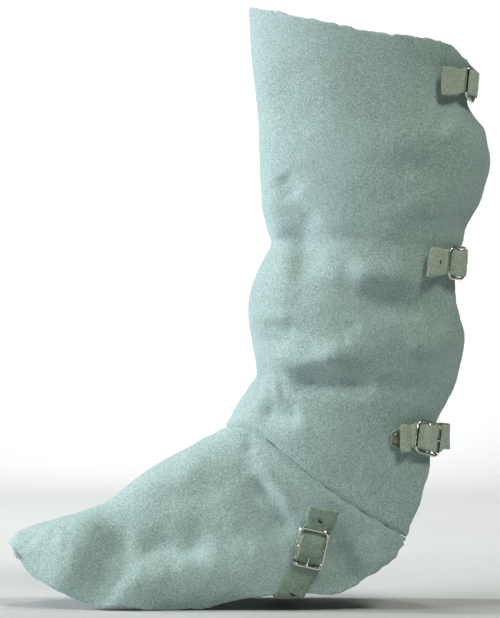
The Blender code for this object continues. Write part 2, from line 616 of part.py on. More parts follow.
STRAP_W = BACK_W - 4 * WIRE_R - BACK_PLAY
for name, level, bar_in, tail, past, turn in CLOSURES:
    level, bar_in, tail, past, turn = level * MM, bar_in * MM, tail * MM, past * MM, turn * DEG
    # angle against length along the strap's line, from the near rear edge
    sweep = np.arange(60, 301) * DEG
    k_line = level_row(sweep, level)
    line = ring_point(rows(SHAFT_RINGS, k_line), sweep)
    length = np.concatenate([[0], np.cumsum(np.linalg.norm(np.diff(line, axis=0), axis=1))])
    open_line = rows(SHAFT_RINGS, k_line)[:, 5]
    near = np.interp(0, sweep - open_line, length)
    far = np.interp(0, sweep - (2 * math.pi - open_line), length)
    s_all = near - bar_in - length                 # from the centre bar, + to the tail

    def base(s, w, lift, s_all=s_all, sweep=sweep, level=level):
        th = np.interp(-np.asarray(s, float), -s_all, sweep)
        return shaft(level_row(th, level - np.asarray(w, float)), th, lift)

    s_far = near - bar_in - (far + past + 7 * MM)
    half = BACK_L / 2 - WIRE_R
    fr = buckle_frame(base, half, BACK_W / 2 - WIRE_R, turn)
    w_run = np.array([-0.5, 0.0, 0.5]) * STRAP_W
    stations = strap_stations(base, fr, half, tail, w_run, FLARE_BACK)
    stations += [[base(s, w, CLEAR) for w in w_run]
                 for s in np.linspace(-half - 5.5 * MM, s_far, 9)]
    low = smooth_run(stations, 2)
    strap = make_object(name + "_strap", band_mesh(name + "_strap", low, STRAP_T),
                        material("strap_" + name, STRAP_RGB, 0.85, 0.0))
    hardware(name, base, fr, BACK_W, BACK_L, STRAP_W, strap, BACK_CORNER, name == "middle")
    s_riv = near - bar_in - (far + past)
    at = base(s_riv, 0, CLEAR + STRAP_T + GAP)
    rivet(name + "_strap_rivet", at, at - base(s_riv, 0, 0))


# ------------------------------------------------------------ foot strap
def on_vamp(y, z, side, lift):
    """Point over the vamp's outer or inner side where it shows at (y, z)."""
    y, z, lift = np.broadcast_arrays(np.asarray(y, float), z, lift)
    flat_y, flat_z = y.ravel(), z.ravel()
    kk, ss = np.meshgrid(np.linspace(0, len(VAMP_RIBS) - 1, 61),
                         np.linspace(0.12, 1, 45), indexing="ij")
    tt = ss * rows(VAMP_RIBS, kk)[..., 5] * side
    grid = ring_point(rows(VAMP_RIBS, kk), tt)
    k, t = np.empty(flat_y.shape), np.empty(flat_y.shape)
    for i, (yy, zz) in enumerate(zip(flat_y, flat_z)):
        j = np.argmin((grid[..., 1] - yy) ** 2 + (grid[..., 2] - zz) ** 2)
        k[i], t[i] = kk.ravel()[j], tt.ravel()[j]
    for _ in range(12):
        p = vamp(k, t)
        pk, pt = vamp(np.clip(k + 0.02, 0, 15), t), vamp(k, t + 0.004)
        ay, az = (pk - p)[:, 1] / 0.02, (pk - p)[:, 2] / 0.02
        by, bz = (pt - p)[:, 1] / 0.004, (pt - p)[:, 2] / 0.004
        ey, ez = flat_y - p[:, 1], flat_z - p[:, 2]
        det = ay * bz - az * by
        det = np.where(np.abs(det) < 1e-9, 1e-9, det)
        k = np.clip(k + np.clip((ey * bz - ez * by) / det, -0.5, 0.5), 0, 14.9)
        t = t + np.clip((ay * ez - az * ey) / det, -0.1, 0.1)
    return vamp(k, t, lift.ravel()).reshape(y.shape + (3,))


foot_pts = smooth_run(np.array(FOOT_LINE) * MM, 12)
foot_d = np.gradient(foot_pts, axis=0)
foot_d /= np.linalg.norm(foot_d, axis=1, keepdims=True)
mid3 = on_vamp(foot_pts[:, 0], foot_pts[:, 1], 1, 0.0)
run_len = np.concatenate([[0], np.cumsum(np.linalg.norm(np.diff(mid3, axis=0), axis=1))])
bar_at = run_len[np.argmin((foot_pts[:, 0] - FOOT_BAR_Y * MM) ** 2
                           + (foot_pts[:, 1] - FOOT_BAR_Z * MM) ** 2)]
foot_s = bar_at - run_len                      # + towards the tail
FOOT_STRAP_W = FOOT_W - 4 * WIRE_R - FOOT_PLAY


def foot_base(s, w, lift):
    s, w, lift = np.broadcast_arrays(np.asarray(s, float), w, lift)
    u = -s
    y, z = np.interp(u, -foot_s, foot_pts[:, 0]), np.interp(u, -foot_s, foot_pts[:, 1])
    dy, dz = np.interp(u, -foot_s, foot_d[:, 0]), np.interp(u, -foot_s, foot_d[:, 1])
    beyond = np.maximum(s - foot_s[0], 0)          # straight on past the tail end
    y, z = y - dy * beyond, z - dz * beyond
    return on_vamp(y + dz * w, z - dy * w, 1, lift)


half = FOOT_L / 2 - WIRE_R
tail = float(foot_s[0])
fr = buckle_frame(foot_base, half, FOOT_W / 2 - WIRE_R, FOOT_TURN)
w_run = np.array([-0.5, 0.0, 0.5]) * FOOT_STRAP_W
near_part = strap_stations(foot_base, fr, half, tail, w_run, FLARE_FOOT, FOOT_SKEW)
w_run = w_run * (1 + 0.6 * FLARE_FOOT)
near_part += [[foot_base(s, w, CLEAR) for w in w_run]
              for s in np.linspace(-half - 5.5 * MM, float(foot_s[-1]), 3)]
near_part = np.array(near_part)
hem_mid = near_part[-1, 1]
hem_y, hem_z, hem_x = hem_mid[1], hem_mid[2], hem_mid[0]
under = []
for in_x, over, ahead in ((-0.2, 1.6, 0.8), (1.3, 0.4, 1.5), (4.0, 0.1, 2.0), (16.0, 0.0, 2.5)):
    under.append([(hem_x - in_x * MM, hem_y - ahead * MM - w, (FOOT_UNDER_Z + over) * MM)
                  for w in w_run])
under += [[(-x, y, z) for x, y, z in row] for row in under[::-1]]
far_part = []
for climb in (0.0, 0.33, 0.66, 1.0):
    z = hem_z + climb * FOOT_FAR_TOP * MM
    y = hem_y - 1.0 * MM + climb * 6 * MM
    far_part.append([on_vamp(y - w, z, -1, CLEAR) for w in w_run])
low = smooth_run(np.concatenate([near_part, np.asarray(under), np.asarray(far_part)]), 2)
foot = make_object("foot_strap", band_mesh("foot_strap", low, STRAP_T),
                   material("strap_foot", STRAP_RGB, 0.85, 0.0))
hardware("foot", foot_base, fr, FOOT_W, FOOT_L, FOOT_STRAP_W, foot, FOOT_CORNER, True)
at_y, at_z = hem_y - 1.0 * MM + 0.72 * 6 * MM, hem_z + 0.72 * FOOT_FAR_TOP * MM
at = on_vamp(at_y, at_z, -1, CLEAR + STRAP_T + GAP)
rivet("foot_strap_rivet", at, at - on_vamp(at_y, at_z, -1, 0.0))
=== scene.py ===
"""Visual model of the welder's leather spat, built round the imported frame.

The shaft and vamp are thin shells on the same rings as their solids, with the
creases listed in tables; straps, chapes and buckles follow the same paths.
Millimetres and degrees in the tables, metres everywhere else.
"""
import math
import random

import bmesh
import bpy
import numpy as np
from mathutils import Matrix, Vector


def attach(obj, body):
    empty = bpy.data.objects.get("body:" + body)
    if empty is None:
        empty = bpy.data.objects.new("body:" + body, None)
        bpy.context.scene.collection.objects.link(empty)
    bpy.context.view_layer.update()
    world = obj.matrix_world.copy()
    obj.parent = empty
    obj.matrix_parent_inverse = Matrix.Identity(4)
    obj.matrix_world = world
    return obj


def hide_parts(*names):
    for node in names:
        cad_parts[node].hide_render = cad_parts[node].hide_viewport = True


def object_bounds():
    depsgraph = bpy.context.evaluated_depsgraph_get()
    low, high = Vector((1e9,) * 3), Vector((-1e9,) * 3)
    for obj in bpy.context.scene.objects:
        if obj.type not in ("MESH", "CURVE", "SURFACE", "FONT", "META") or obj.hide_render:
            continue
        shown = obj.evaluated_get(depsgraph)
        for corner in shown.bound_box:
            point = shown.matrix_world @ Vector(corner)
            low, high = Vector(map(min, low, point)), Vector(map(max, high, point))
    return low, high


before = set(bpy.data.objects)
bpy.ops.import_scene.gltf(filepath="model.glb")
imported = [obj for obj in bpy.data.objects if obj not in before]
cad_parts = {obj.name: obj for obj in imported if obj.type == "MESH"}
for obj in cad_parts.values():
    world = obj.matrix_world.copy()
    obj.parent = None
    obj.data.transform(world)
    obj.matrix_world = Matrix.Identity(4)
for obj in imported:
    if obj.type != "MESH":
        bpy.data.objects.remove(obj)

cad_lo, cad_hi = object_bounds()
scene = bpy.context.scene
MM = 0.001
DEG = math.pi / 180.0

# ------------------------------------------------------------------ sizes
WALL = 1.8 * MM
EGG = 0.08
STRAP_T = 1.8 * MM
CHAPE_T = 1.1 * MM
CHAPE_SPLIT = 0.2 * MM
CLEAR = 0.5 * MM
GAP = 0.3 * MM
WIRE_R = 0.95 * MM
PRONG_R = 0.70 * MM
BACK_CORNER = (4.2 * MM, 3.4 * MM)
FOOT_CORNER = (3.0 * MM, 3.0 * MM)
BACK_PLAY = 2.3 * MM
FOOT_PLAY = 1.2 * MM
FLARE_BACK, FLARE_FOOT = 0.16, 0.19
FOOT_TURN, FOOT_SKEW = -8.0 * DEG, -0.20
RIVET_R = 3.6 * MM
RIVET_H = 1.15 * MM
RIVET_AT = 21.5 * MM
CHAPE_END = 25.0 * MM
HOLE_R = 1.5 * MM
BACK_W, BACK_L = 22.9 * MM, 24.0 * MM
FOOT_W, FOOT_L = 20.6 * MM, 26.5 * MM

# One row for each ring of the shaft, from the top edge down to the seam.
# A ring starts at the front of the shin, passes round both sides and ends at
# the rear corners; its plane runs from the front point to the rear point.
# front_y front_z  rear_y  rear_z  half_width open_deg rise  peak     (mm, deg)
SHAFT_RINGS = (
    (-77.3, 170.8, 71.7, 130.3, 62.0, 171.0, 8.5, 0.0),   # top edge
    (-76.3, 149.9, 70.9, 118.2, 62.5, 170.0, 5.0, 0.0),
    (-74.2, 124.2, 69.9, 106.7, 63.0, 169.0, 2.0, 0.0),    # upper closure
    (-71.6, 101.2, 73.5, 95.2, 63.5, 168.0, 0.0, 0.0),
    (-70.5, 82.4, 80.9, 79.8, 64.0, 168.0, 0.0, 0.0),
    (-69.5, 62.1, 84.6, 65.0, 64.0, 168.0, 0.0, 0.0),      # calf
    (-66.8, 41.8, 78.8, 42.1, 62.0, 167.0, 0.0, 0.0),
    (-62.8, 24.3, 69.3, 23.9, 59.0, 164.0, 0.0, 0.0),
    (-60.1, 14.2, 66.5, 13.8, 57.0, 161.0, 0.0, 0.0),      # pinched waist
    (-66.2, 4.1, 63.2, 3.7, 57.5, 157.0, 0.0, 0.0),        # middle closure
    (-73.6, -12.2, 60.4, -12.3, 59.0, 155.0, 0.0, 0.0),
    (-77.0, -28.4, 61.8, -27.0, 60.0, 156.0, 0.0, 0.0),
    (-77.0, -43.2, 65.0, -43.8, 60.5, 160.0, 0.0, 0.0),
    (-74.9, -56.7, 66.5, -55.2, 60.0, 163.0, 0.0, 0.0),
    (-71.6, -74.2, 63.8, -71.3, 58.0, 162.0, 0.0, 0.0),    # bend above the ankle
    (-77.0, -83.7, 60.3, -83.3, 57.0, 159.0, 0.0, 0.0),
    (-83.0, -91.8, 54.2, -94.6, 56.0, 156.0, 0.0, 0.9),
    (-87.1, -99.2, 47.3, -106.6, 55.5, 152.0, 0.0, 2.6),   # lower closure
    (-89.8, -105.3, 42.4, -127.1, 55.5, 145.0, 0.0, 5.4),
    (-91.8, -109.4, 40.4, -148.7, 56.0, 136.0, 0.0, 8.1),
    (-93.2, -112.1, 27.8, -183.2, 56.0, 124.0, 0.0, 10.3),  # seam
)

# One row for each rib of the vamp, from the seam to the toe.  A rib starts on
# the crest of the instep and ends on the lower hem (or the raw rear edge).
# crest_y crest_z  hem_y   hem_z  half_width open_deg rise  peak     (mm, deg)
VAMP_RIBS = (
    (-93.2, -112.1, 27.8, -183.2, 56.0, 124.0, 0.0, 10.3),  # seam
    (-98.6, -115.4, 20.3, -194.5, 57.0, 116.0, 0.0, 7.1),
    (-106.7, -118.8, 4.3, -206.8, 58.0, 108.0, 0.0, 3.9),
    (-116.8, -124.9, -16.9, -219.2, 59.0, 101.0, 0.0, 2.2),
    (-128.9, -131.0, -40.7, -219.0, 60.0, 95.0, 0.0, 1.0),  # instep strap
    (-140.4, -137.7, -63.1, -220.2, 61.0, 90.0, 0.0, 0.0),
    (-149.9, -144.5, -84.2, -222.8, 62.0, 87.0, 0.0, 0.0),
    (-158.6, -151.2, -103.9, -227.3, 63.5, 84.0, 0.0, 0.0),
    (-168.1, -158.6, -123.7, -228.3, 64.5, 82.0, 0.0, 0.0),  # ball of the foot
    (-178.9, -165.4, -142.1, -229.6, 64.5, 80.0, 0.0, 0.0),
    (-191.0, -171.5, -160.6, -227.1, 63.0, 80.0, 0.0, 0.0),
    (-204.5, -173.8, -176.6, -228.0, 59.0, 80.0, 0.0, 0.0),
    (-216.7, -176.2, -192.7, -222.9, 53.0, 80.0, 0.0, 0.0),
    (-226.1, -179.6, -208.9, -215.4, 46.0, 80.0, 0.0, 0.0),
    (-232.9, -182.2, -222.6, -208.0, 38.0, 80.0, 0.0, 0.0),
    (-238.8, -188.0, -232.5, -194.5, 29.0, 82.0, 0.0, 0.0),  # toe edge
)

# One row for each back closure.
# level: height of the strap; bar_in: centre bar ahead of the rear edge;
# tail: end of the strap from the centre bar; turn: the frame's lean (mm, deg)
# name      level   bar_in  tail   rivet_past_far_edge  turn
CLOSURES = (
    ("upper", 119.0, 13.5, 32.5, 12.0, 9.0),
    ("middle", -0.5, 8.5, 27.0, 12.0, 2.0),
    ("lower", -117.5, 9.7, 20.8, 12.0, 11.0),
)

# Centre line of the foot strap on the vamp's outer side, from its tail down
# to the hem; the buckle's centre bar sits at the row marked as bar.
#  y      z
FOOT_LINE = (
    (-27.0, -164.7),   # tail end
    (-32.0, -179.5),
    (-35.9, -189.7),   # bar
    (-39.0, -198.5),
    (-43.3, -207.2),
    (-49.5, -218.6),   # hem
)
FOOT_BAR_Y, FOOT_BAR_Z = -35.9, -189.7
FOOT_UNDER_Z = -221.0      # upper face of the strap under the foot
FOOT_FAR_TOP = 24.0        # how far it climbs the inner side of the vamp

# Creases.  Each is a soft trough (depth < 0) or ridge
# (depth > 0) along a three-point line seen from the side; side: 1 outer,
# -1 inner, 0 right round the front.
# side  y0  z0   y1  z1   y2  z2  width depth                         (mm)
SHAFT_CREASES = (
    (1, -16, -8, 10, -12, 35, -7, 9.5, 5.6),     # roll under the waist
    (1, -6, -20, 18, -28, 44, -30, 10.5, -5.8),   # dent below it
    (1, -12, -38, -10, -46, -8, -56, 7.0, -1.5),  # front end of the dent
    (1, 22, -53, 44, -54, 62, -51, 10.0, 4.2),    # roll at the rear
    (0, -71, -36, -60, -38, -46, -38, 5.0, 1.8),  # crest over the shin crease
    (0, -70, -42, -62, -44, -45, -46, 3.8, -2.4),  # shin crease
    (0, -74, -50, -64, -52, -50, -54, 4.2, -2.4),  # second shin crease
    (1, -68, -70, -36, -66, 2, -60, 11.0, 7.0),   # long roll
    (1, -14, -55, -3, -50, 5, -44, 14.0, 2.5),    # its upper end
    (1, -52, -77, -26, -79, 10, -82, 8.0, -6.0),  # trough under the roll
    (1, 6, -82, 28, -84, 50, -85, 8.0, -2.6),   # trough fading out
    (0, -69, -82, -65, -84, -54, -84, 9.0, 2.4),  # front crest
    (0, -74, -97, -60, -102, -40, -101, 10.0, -4.2),  # front trough
    (1, -59, -113, -46, -113, -31, -116, 9.0, 1.0),  # swell below it
    (1, -48, -128, -6, -132, 14, -151, 14.0, 1.3),  # fullness over the seam
    (0, -66, 52, -53, 14, -52, -20, 7.5, 4.6),    # waist, upright ridge
    (1, -44, 50, -40, 12, -42, -18, 11.0, -3.6),  # beside that ridge
    (1, -59, 57, -54, 52, -46, 42, 8.0, -3.6),    # dent on the shin
    (1, 48, 92, 62, 84, 84, 80, 13.0, 5.0),       # calf roll
    (1, 8, 80, 26, 80, 48, 80, 10.0, 2.0),        # its front end
    (1, 12, 60, 34, 60, 60, 58, 11.0, -2.0),      # under the calf roll
    (1, 4, 156, 36, 150, 70, 140, 15.0, 4.5),     # flare of the top edge
    (1, 14, 38, 16, 26, 18, 10, 12.0, 1.8),       # small swell over the middle strap
    (1, 34, 48, 40, 36, 42, 26, 12.0, 2.0),       # swell at the rear edge
    (1, 32, -108, 44, -128, 42, -150, 16.0, 2.5),  # rear corner
    (1, -50, 135, -46, 102, -42, 78, 18.0, -1.5),  # flat of the shin
    # inner side: the same kind of folds, lying a little differently
    (-1, -26, -4, 6, -8, 40, -4, 8.0, 3.6),
    (-1, -22, -23, 10, -28, 40, -30, 9.5, -4.8),
    (-1, 4, -50, 34, -54, 62, -50, 9.0, 2.8),
    (-1, -60, -60, -28, -63, 8, -62, 8.0, 4.0),
    (-1, -52, -80, -10, -84, 34, -80, 8.5, -4.2),
    (-1, -38, 52, -34, 20, -36, -8, 9.5, -1.8),
    (-1, 10, 84, 42, 82, 76, 80, 10.0, 1.6),
    (-1, -6, 118, 20, 96, 30, 66, 14.0, -1.6),
    (-1, -40, 132, -36, 108, -40, 84, 13.0, 1.2),
)
VAMP_CREASES = (
    (1, -218, -181, -210, -189, -195, -190, 12.0, 3.2),   # toe swell
    (1, -182, -160, -195, -203, -204, -226, 15.0, 6.0),   # toe crest
    (1, -160, -174, -170, -198, -186, -228, 11.0, -8.0),  # trough behind the toe
    (1, -162, -186, -130, -187, -98, -184, 11.0, -6.2),  # side hollow
    (1, -166, -230, -149, -211, -124, -207, 9.0, 3.6),    # side flare, front
    (1, -130, -207, -110, -203, -88, -196, 10.0, 2.2),    # side flare, rear
    (1, -172, -164, -118, -142, -88, -118, 12.0, 3.6),    # instep band
    (1, -77, -112, -77, -122, -74, -129, 4.6, -3.0),      # peak crease
    (1, -78, -140, -68, -158, -50, -186, 9.0, -6.2),      # crease to the buckle
    (1, -72, -133, -58, -150, -46, -171, 5.0, 2.4),       # ridge beside it
    (1, -98, -150, -90, -166, -80, -180, 12.0, 1.8),      # fullness before it
    (1, -79, -191, -66, -192, -58, -188, 9.0, 2.0),       # bulge by the strap
    (1, -20, -184, -16, -198, -6, -219, 8.5, -6.0),       # fold behind the buckle
    (1, 3, -178, 12, -190, 12, -205, 9.5, 2.8),           # rear swell
    (1, -148, -234, -106, -232, -68, -229, 9.0, -7.5),   # hem turned in
    (1, -130, -214, -90, -207, -66, -208, 9.0, 2.2),      # above the hem
    (1, -32, -138, -14, -149, 2, -161, 8.0, 2.0),         # under the seam
    # inner side
    (-1, -176, -170, -182, -192, -190, -214, 9.0, 2.2),
    (-1, -157, -172, -163, -194, -171, -220, 9.5, -3.8),
    (-1, -156, -198, -126, -190, -86, -184, 10.0, -3.8),
    (-1, -154, -219, -122, -212, -78, -208, 10.0, 3.2),
    (-1, -80, -114, -74, -134, -62, -158, 6.0, -3.0),
    (-1, -66, -128, -52, -148, -36, -166, 6.0, 2.0),
    (-1, -20, -178, -12, -194, -6, -208, 6.0, -2.6),
)

SEAM_ROW = len(SHAFT_RINGS) - 1
VAMP_LAST = len(VAMP_RIBS) - 1


# --------------------------------------------------------------- unevenness
class Waves:
    """Smooth seeded unevenness, about -1 to 1, of one size of bump."""

    def __init__(self, seed, size, count=26):
        rng = np.random.default_rng(seed)
        d = rng.normal(size=(count, 3))
        d /= np.linalg.norm(d, axis=1, keepdims=True)
        self.k = d * (2 * math.pi / (size * rng.uniform(0.7, 1.5, (count, 1))))
        self.f = rng.uniform(0, 2 * math.pi, count)
        self.s = 1.6 / math.sqrt(count)

    def __call__(self, p):
        p = np.asarray(p, float)
        out = np.zeros(p.shape[:-1])
        for k, f in zip(self.k, self.f):
            out += np.sin(p @ k + f)
        return out * self.s


WOBBLE = Waves(1, 34 * MM)
DEPTHS = Waves(2, 26 * MM)
SLACK = Waves(3, 62 * MM)
RIPPLE = Waves(4, 19 * MM)
LUMPS = Waves(5, 5.5 * MM)
NAP = Waves(6, 2.9 * MM, 40)
EDGE = Waves(7, 3.0 * MM)
EDGE_LONG = Waves(8, 14 * MM)


# ------------------------------------------------- surfaces of the leather
def rows(table, k):
    """Smooth curve through the table's rows, read at row numbers k."""
    t_all = np.array(table)
    t_all[:, [0, 1, 2, 3, 4, 6, 7]] *= MM
    t_all[:, 5] *= DEG
    n = len(t_all)
    k = np.clip(np.asarray(k, float), 0.0, n - 1.0)
    i = np.minimum(k.astype(int), n - 2)
    t = (k - i)[..., None]
    p0, p1 = t_all[np.maximum(i - 1, 0)], t_all[i]
    p2, p3 = t_all[i + 1], t_all[np.minimum(i + 2, n - 1)]
    return 0.5 * (2 * p1 + (p2 - p0) * t + (2 * p0 - 5 * p1 + 4 * p2 - p3) * t ** 2
                  + (3 * p1 - p0 - 3 * p2 + p3) * t ** 3)


def ring_point(row, th):
    """Point of a ring at angle th from its front (0) towards the outer side."""
    fy, fz, ry, rz, half, open_, rise, peak = np.moveaxis(row, -1, 0)
    share = (1 - np.cos(th)) / (1 - np.cos(open_))
    in_ = np.minimum(share, 1.0)
    y = fy + (ry - fy) * share
    z = (fz + (rz - fz) * share + rise * np.sin(math.pi * in_ ** 4)
         + peak * 13.6 * in_ * (1 - in_) ** 4.5)
    x = half * np.sin(th) * (1 - EGG * np.cos(th))
    return np.stack([x, y, z], -1)


def crease_height(creases, p):
    out = np.zeros(p.shape[:-1])
    wob = WOBBLE(p) * 0.5 * MM
    uneven = 1 + 0.10 * DEPTHS(p)
    for side, y0, z0, y1, z1, y2, z2, width, depth in creases:
        pts = np.array([(y0, z0), (y1, z1), (y2, z2)]) * MM
        width, depth = width * MM, depth * MM
        legs = [np.linalg.norm(pts[1] - pts[0]), np.linalg.norm(pts[2] - pts[1])]
        full = sum(legs)
        best, along = None, None
        start = 0.0
        for a, b, leg in ((pts[0], pts[1], legs[0]), (pts[1], pts[2], legs[1])):
            d = b - a
            t = np.clip(((p[..., 1] - a[0]) * d[0] + (p[..., 2] - a[1]) * d[1]) / (leg * leg), 0, 1)
            q = np.hypot(p[..., 1] - a[0] - t * d[0], p[..., 2] - a[1] - t * d[1])
            u = (start + t * leg) / full
            if best is None:
                best, along = q, u
            else:
                near = q < best
                best, along = np.where(near, q, best), np.where(near, u, along)
            start += leg
        w = 1.0 if side == 0 else np.clip((side * p[..., 0] + 4 * MM) / (16 * MM), 0, 1)
        ends = np.clip(np.minimum(along, 1 - along) / 0.30, 0, 1)
        ends = 0.25 + 0.75 * ends * ends * (3 - 2 * ends)
        q = np.maximum(best + wob * np.minimum(1.0, best / width), 0)
        out += depth * np.exp(-(q / width) ** 2) * w * w * (3 - 2 * w) * ends * uneven
    return out


def seam_points():
    row = rows(SHAFT_RINGS, SEAM_ROW)
    return ring_point(row, np.linspace(-1, 1, 601) * row[5])


SEAM_LINE = seam_points()


def seam_distance(p):
    flat = p.reshape(-1, 3)
    out = np.full(len(flat), 1.0)
    step = 20000
    for i in range(0, len(flat), step):
        part = flat[i:i + step]
        near = np.full(len(part), 1.0)
        for j in range(0, len(SEAM_LINE) - 1):
            near = np.minimum(near, ((part - SEAM_LINE[j]) ** 2).sum(1))
        out[i:i + step] = near
    return np.sqrt(out).reshape(p.shape[:-1])


def leather(table, creases, k, th, lift=0.0, fine=False, groove=0.0):
    """Point over the leather's outer face, lifted off it by lift."""
    k, th, lift = np.broadcast_arrays(np.asarray(k, float), th, lift)
    last = len(table) - 1
    dk, dt = 0.03, 0.01
    row = rows(table, k)
    p = ring_point(row, th)
    a = (ring_point(rows(table, np.clip(k + dk, 0, last)), th)
         - ring_point(rows(table, np.clip(k - dk, 0, last)), th))
    b = ring_point(row, th + dt) - ring_point(row, th - dt)
    n = np.cross(a, b)
    n /= np.linalg.norm(n, axis=-1, keepdims=True)
    h = crease_height(creases, p) + SLACK(p) * 0.30 * MM + RIPPLE(p) * 0.05 * MM
    if fine:
        d = seam_distance(p)
        away = 1 - np.exp(-(d / (9 * MM)) ** 2)
        h = h * (0.35 + 0.65 * away)
        h += -1.15 * MM * np.exp(-(d / (1.5 * MM)) ** 2)
        h += groove * np.exp(-((d - 4.2 * MM) / (2.6 * MM)) ** 2)
        h += LUMPS(p) * 0.020 * MM + NAP(p) * 0.045 * MM
    return p + n * (h + lift)[..., None]


def shaft(k, th, lift=0.0):
    return leather(SHAFT_RINGS, SHAFT_CREASES, k, th, lift)


def vamp(k, th, lift=0.0):
    return leather(VAMP_RIBS, VAMP_CREASES, k, th, lift)


# ----------------------------------------------------------- mesh helpers
def new_object(name, verts, faces, mats, face_mats=None):
    mesh = bpy.data.meshes.new(name)
    mesh.from_pydata([tuple(v) for v in verts], [], [tuple(f) for f in faces])
    for m in mats:
        mesh.materials.append(m)
    if face_mats is not None:
        mesh.polygons.foreach_set("material_index", np.asarray(face_mats, dtype=np.int32))
    bm = bmesh.new()
    bm.from_mesh(mesh)
    bmesh.ops.recalc_face_normals(bm, faces=bm.faces)
    bm.to_mesh(mesh)
    bm.free()
    mesh.shade_smooth()
    obj = bpy.data.objects.new(name, mesh)
    bpy.context.collection.objects.link(obj)
    return obj


def shell(name, outer, inner, mats, bulge, ragged, rounds=3, edge_sides="all"):
    """Closed sheet between two grids, its cut edge rounded and slightly ragged."""
    nr, nc = outer.shape[:2]
    rim = ([(0, j) for j in range(nc)] + [(i, nc - 1) for i in range(1, nr)]
           + [(nr - 1, j) for j in range(nc - 2, -1, -1)] + [(i, 0) for i in range(nr - 2, 0, -1)])
    def inward(i, j):
        return (min(max(i, 1), nr - 2), min(max(j, 1), nc - 2))
    outer, inner = outer.copy(), inner.copy()
    dirs = []
    for i, j in rim:
        a, b = inward(i, j)
        d = outer[i, j] - outer[a, b]
        dirs.append(d / max(np.linalg.norm(d), 1e-9))
    dirs = np.array(dirs)
    for _ in range(2):
        dirs = (np.roll(dirs, 1, 0) + dirs * 2 + np.roll(dirs, -1, 0)) / 4
    dirs /= np.linalg.norm(dirs, axis=1, keepdims=True)
    rim_o = np.array([outer[i, j] for i, j in rim])
    rim_i = np.array([inner[i, j] for i, j in rim])
    rag = (EDGE(rim_o) * 0.5 + EDGE_LONG(rim_o) * 0.8) * ragged
    rag = rag[:, None] if np.ndim(rag) else rag
    rim_o = rim_o + dirs * rag
    rim_i = rim_i + dirs * rag
    for (i, j), o, n in zip(rim, rim_o, rim_i):
        outer[i, j], inner[i, j] = o, n
    verts = np.concatenate([outer.reshape(-1, 3), inner.reshape(-1, 3)])
    faces, fm = [], []
    idx = lambda i, j, side: side * nr * nc + i * nc + j
    for i in range(nr - 1):
        for j in range(nc - 1):
            faces.append((idx(i, j, 0), idx(i + 1, j, 0), idx(i + 1, j + 1, 0), idx(i, j + 1, 0)))
            faces.append((idx(i, j + 1, 1), idx(i + 1, j + 1, 1), idx(i + 1, j, 1), idx(i, j, 1)))
            fm += [0, 0]
    loops = [[idx(i, j, 0) for i, j in rim]]
    base = len(verts)
    extra = []
    for r in range(1, rounds):
        t = r / rounds
        ring = rim_o * (1 - t) + rim_i * t + dirs * (bulge * math.sin(math.pi * t))
        ring = ring + dirs * (EDGE(rim_o * 1.7 + r) * 0.12 * MM)[:, None]
        extra.append(ring)
        loops.append([base + (r - 1) * len(rim) + q for q in range(len(rim))])
    loops.append([idx(i, j, 1) for i, j in rim])
    verts = np.concatenate([verts] + extra)
    for one, two in zip(loops, loops[1:]):
        for q in range(len(rim)):
            s = (q + 1) % len(rim)
            faces.append((one[q], one[s], two[s], two[q]))
            fm.append(1)
    obj = new_object(name, verts, faces, mats, fm)
    return obj, rim_o, rim_i, dirs


def grid_normals(g):
    n = np.cross(np.gradient(g, axis=0), np.gradient(g, axis=1))
    return n / np.linalg.norm(n, axis=-1, keepdims=True)


def smooth_run(pts, per):
    pts = np.asarray(pts, float)
    n = len(pts)
    u = np.linspace(0, n - 1, (n - 1) * per + 1)
    i = np.minimum(u.astype(int), n - 2)
    t = (u - i).reshape((-1,) + (1,) * (pts.ndim - 1))
    p0, p1 = pts[np.maximum(i - 1, 0)], pts[i]
    p2, p3 = pts[i + 1], pts[np.minimum(i + 2, n - 1)]
    return 0.5 * (2 * p1 + (p2 - p0) * t + (2 * p0 - 5 * p1 + 4 * p2 - p3) * t ** 2
                  + (3 * p1 - p0 - 3 * p2 + p3) * t ** 3)


def tube(name, pts, radii, sides, mat, closed=False, flat=1.0):
    """Wire along a run of points; radii may vary, and flat squashes it."""
    pts = [Vector(p) for p in pts]
    count = len(pts)
    if not hasattr(radii, "__len__"):
        radii = [radii] * count
    verts, faces = [], []
    ref = None
    for i, p in enumerate(pts):
        before = pts[i - 1] if (i or closed) else p
        after = pts[(i + 1) % count] if (i < count - 1 or closed) else p
        t = (after - before).normalized()
        if ref is None:
            ref = t.orthogonal().normalized()
        ref = (ref - t * ref.dot(t)).normalized()
        other = t.cross(ref)
        for s in range(sides):
            a = 2 * math.pi * s / sides
            verts.append(p + (ref * math.cos(a) + other * math.sin(a) * flat) * radii[i])
    runs = count if closed else count - 1
    for i in range(runs):
        j = (i + 1) % count
        for s in range(sides):
            q = (s + 1) % sides
            faces.append((i * sides + s, i * sides + q, j * sides + q, j * sides + s))
    if not closed:
        faces.append(tuple(range(sides))[::-1])
        faces.append(tuple((count - 1) * sides + s for s in range(sides)))
    return new_object(name, verts, faces, [mat])


def merge(name, objs):
    """Join objects into one, its parts each a closed body."""
    bm = bmesh.new()
    mats = []
    for o in objs:
        start = len(bm.faces)
        bm.from_mesh(o.data)
        bm.faces.ensure_lookup_table()
        for f in bm.faces[start:]:
            m = o.data.materials[f.material_index]
            if m not in mats:
                mats.append(m)
            f.material_index = mats.index(m)
    mesh = bpy.data.meshes.new(name)
    bm.to_mesh(mesh)
    bm.free()
    for m in mats:
        mesh.materials.append(m)
    mesh.shade_smooth()
    for o in objs:
        bpy.data.objects.remove(o, do_unlink=True)
    obj = bpy.data.objects.new(name, mesh)
    bpy.context.collection.objects.link(obj)
    return obj


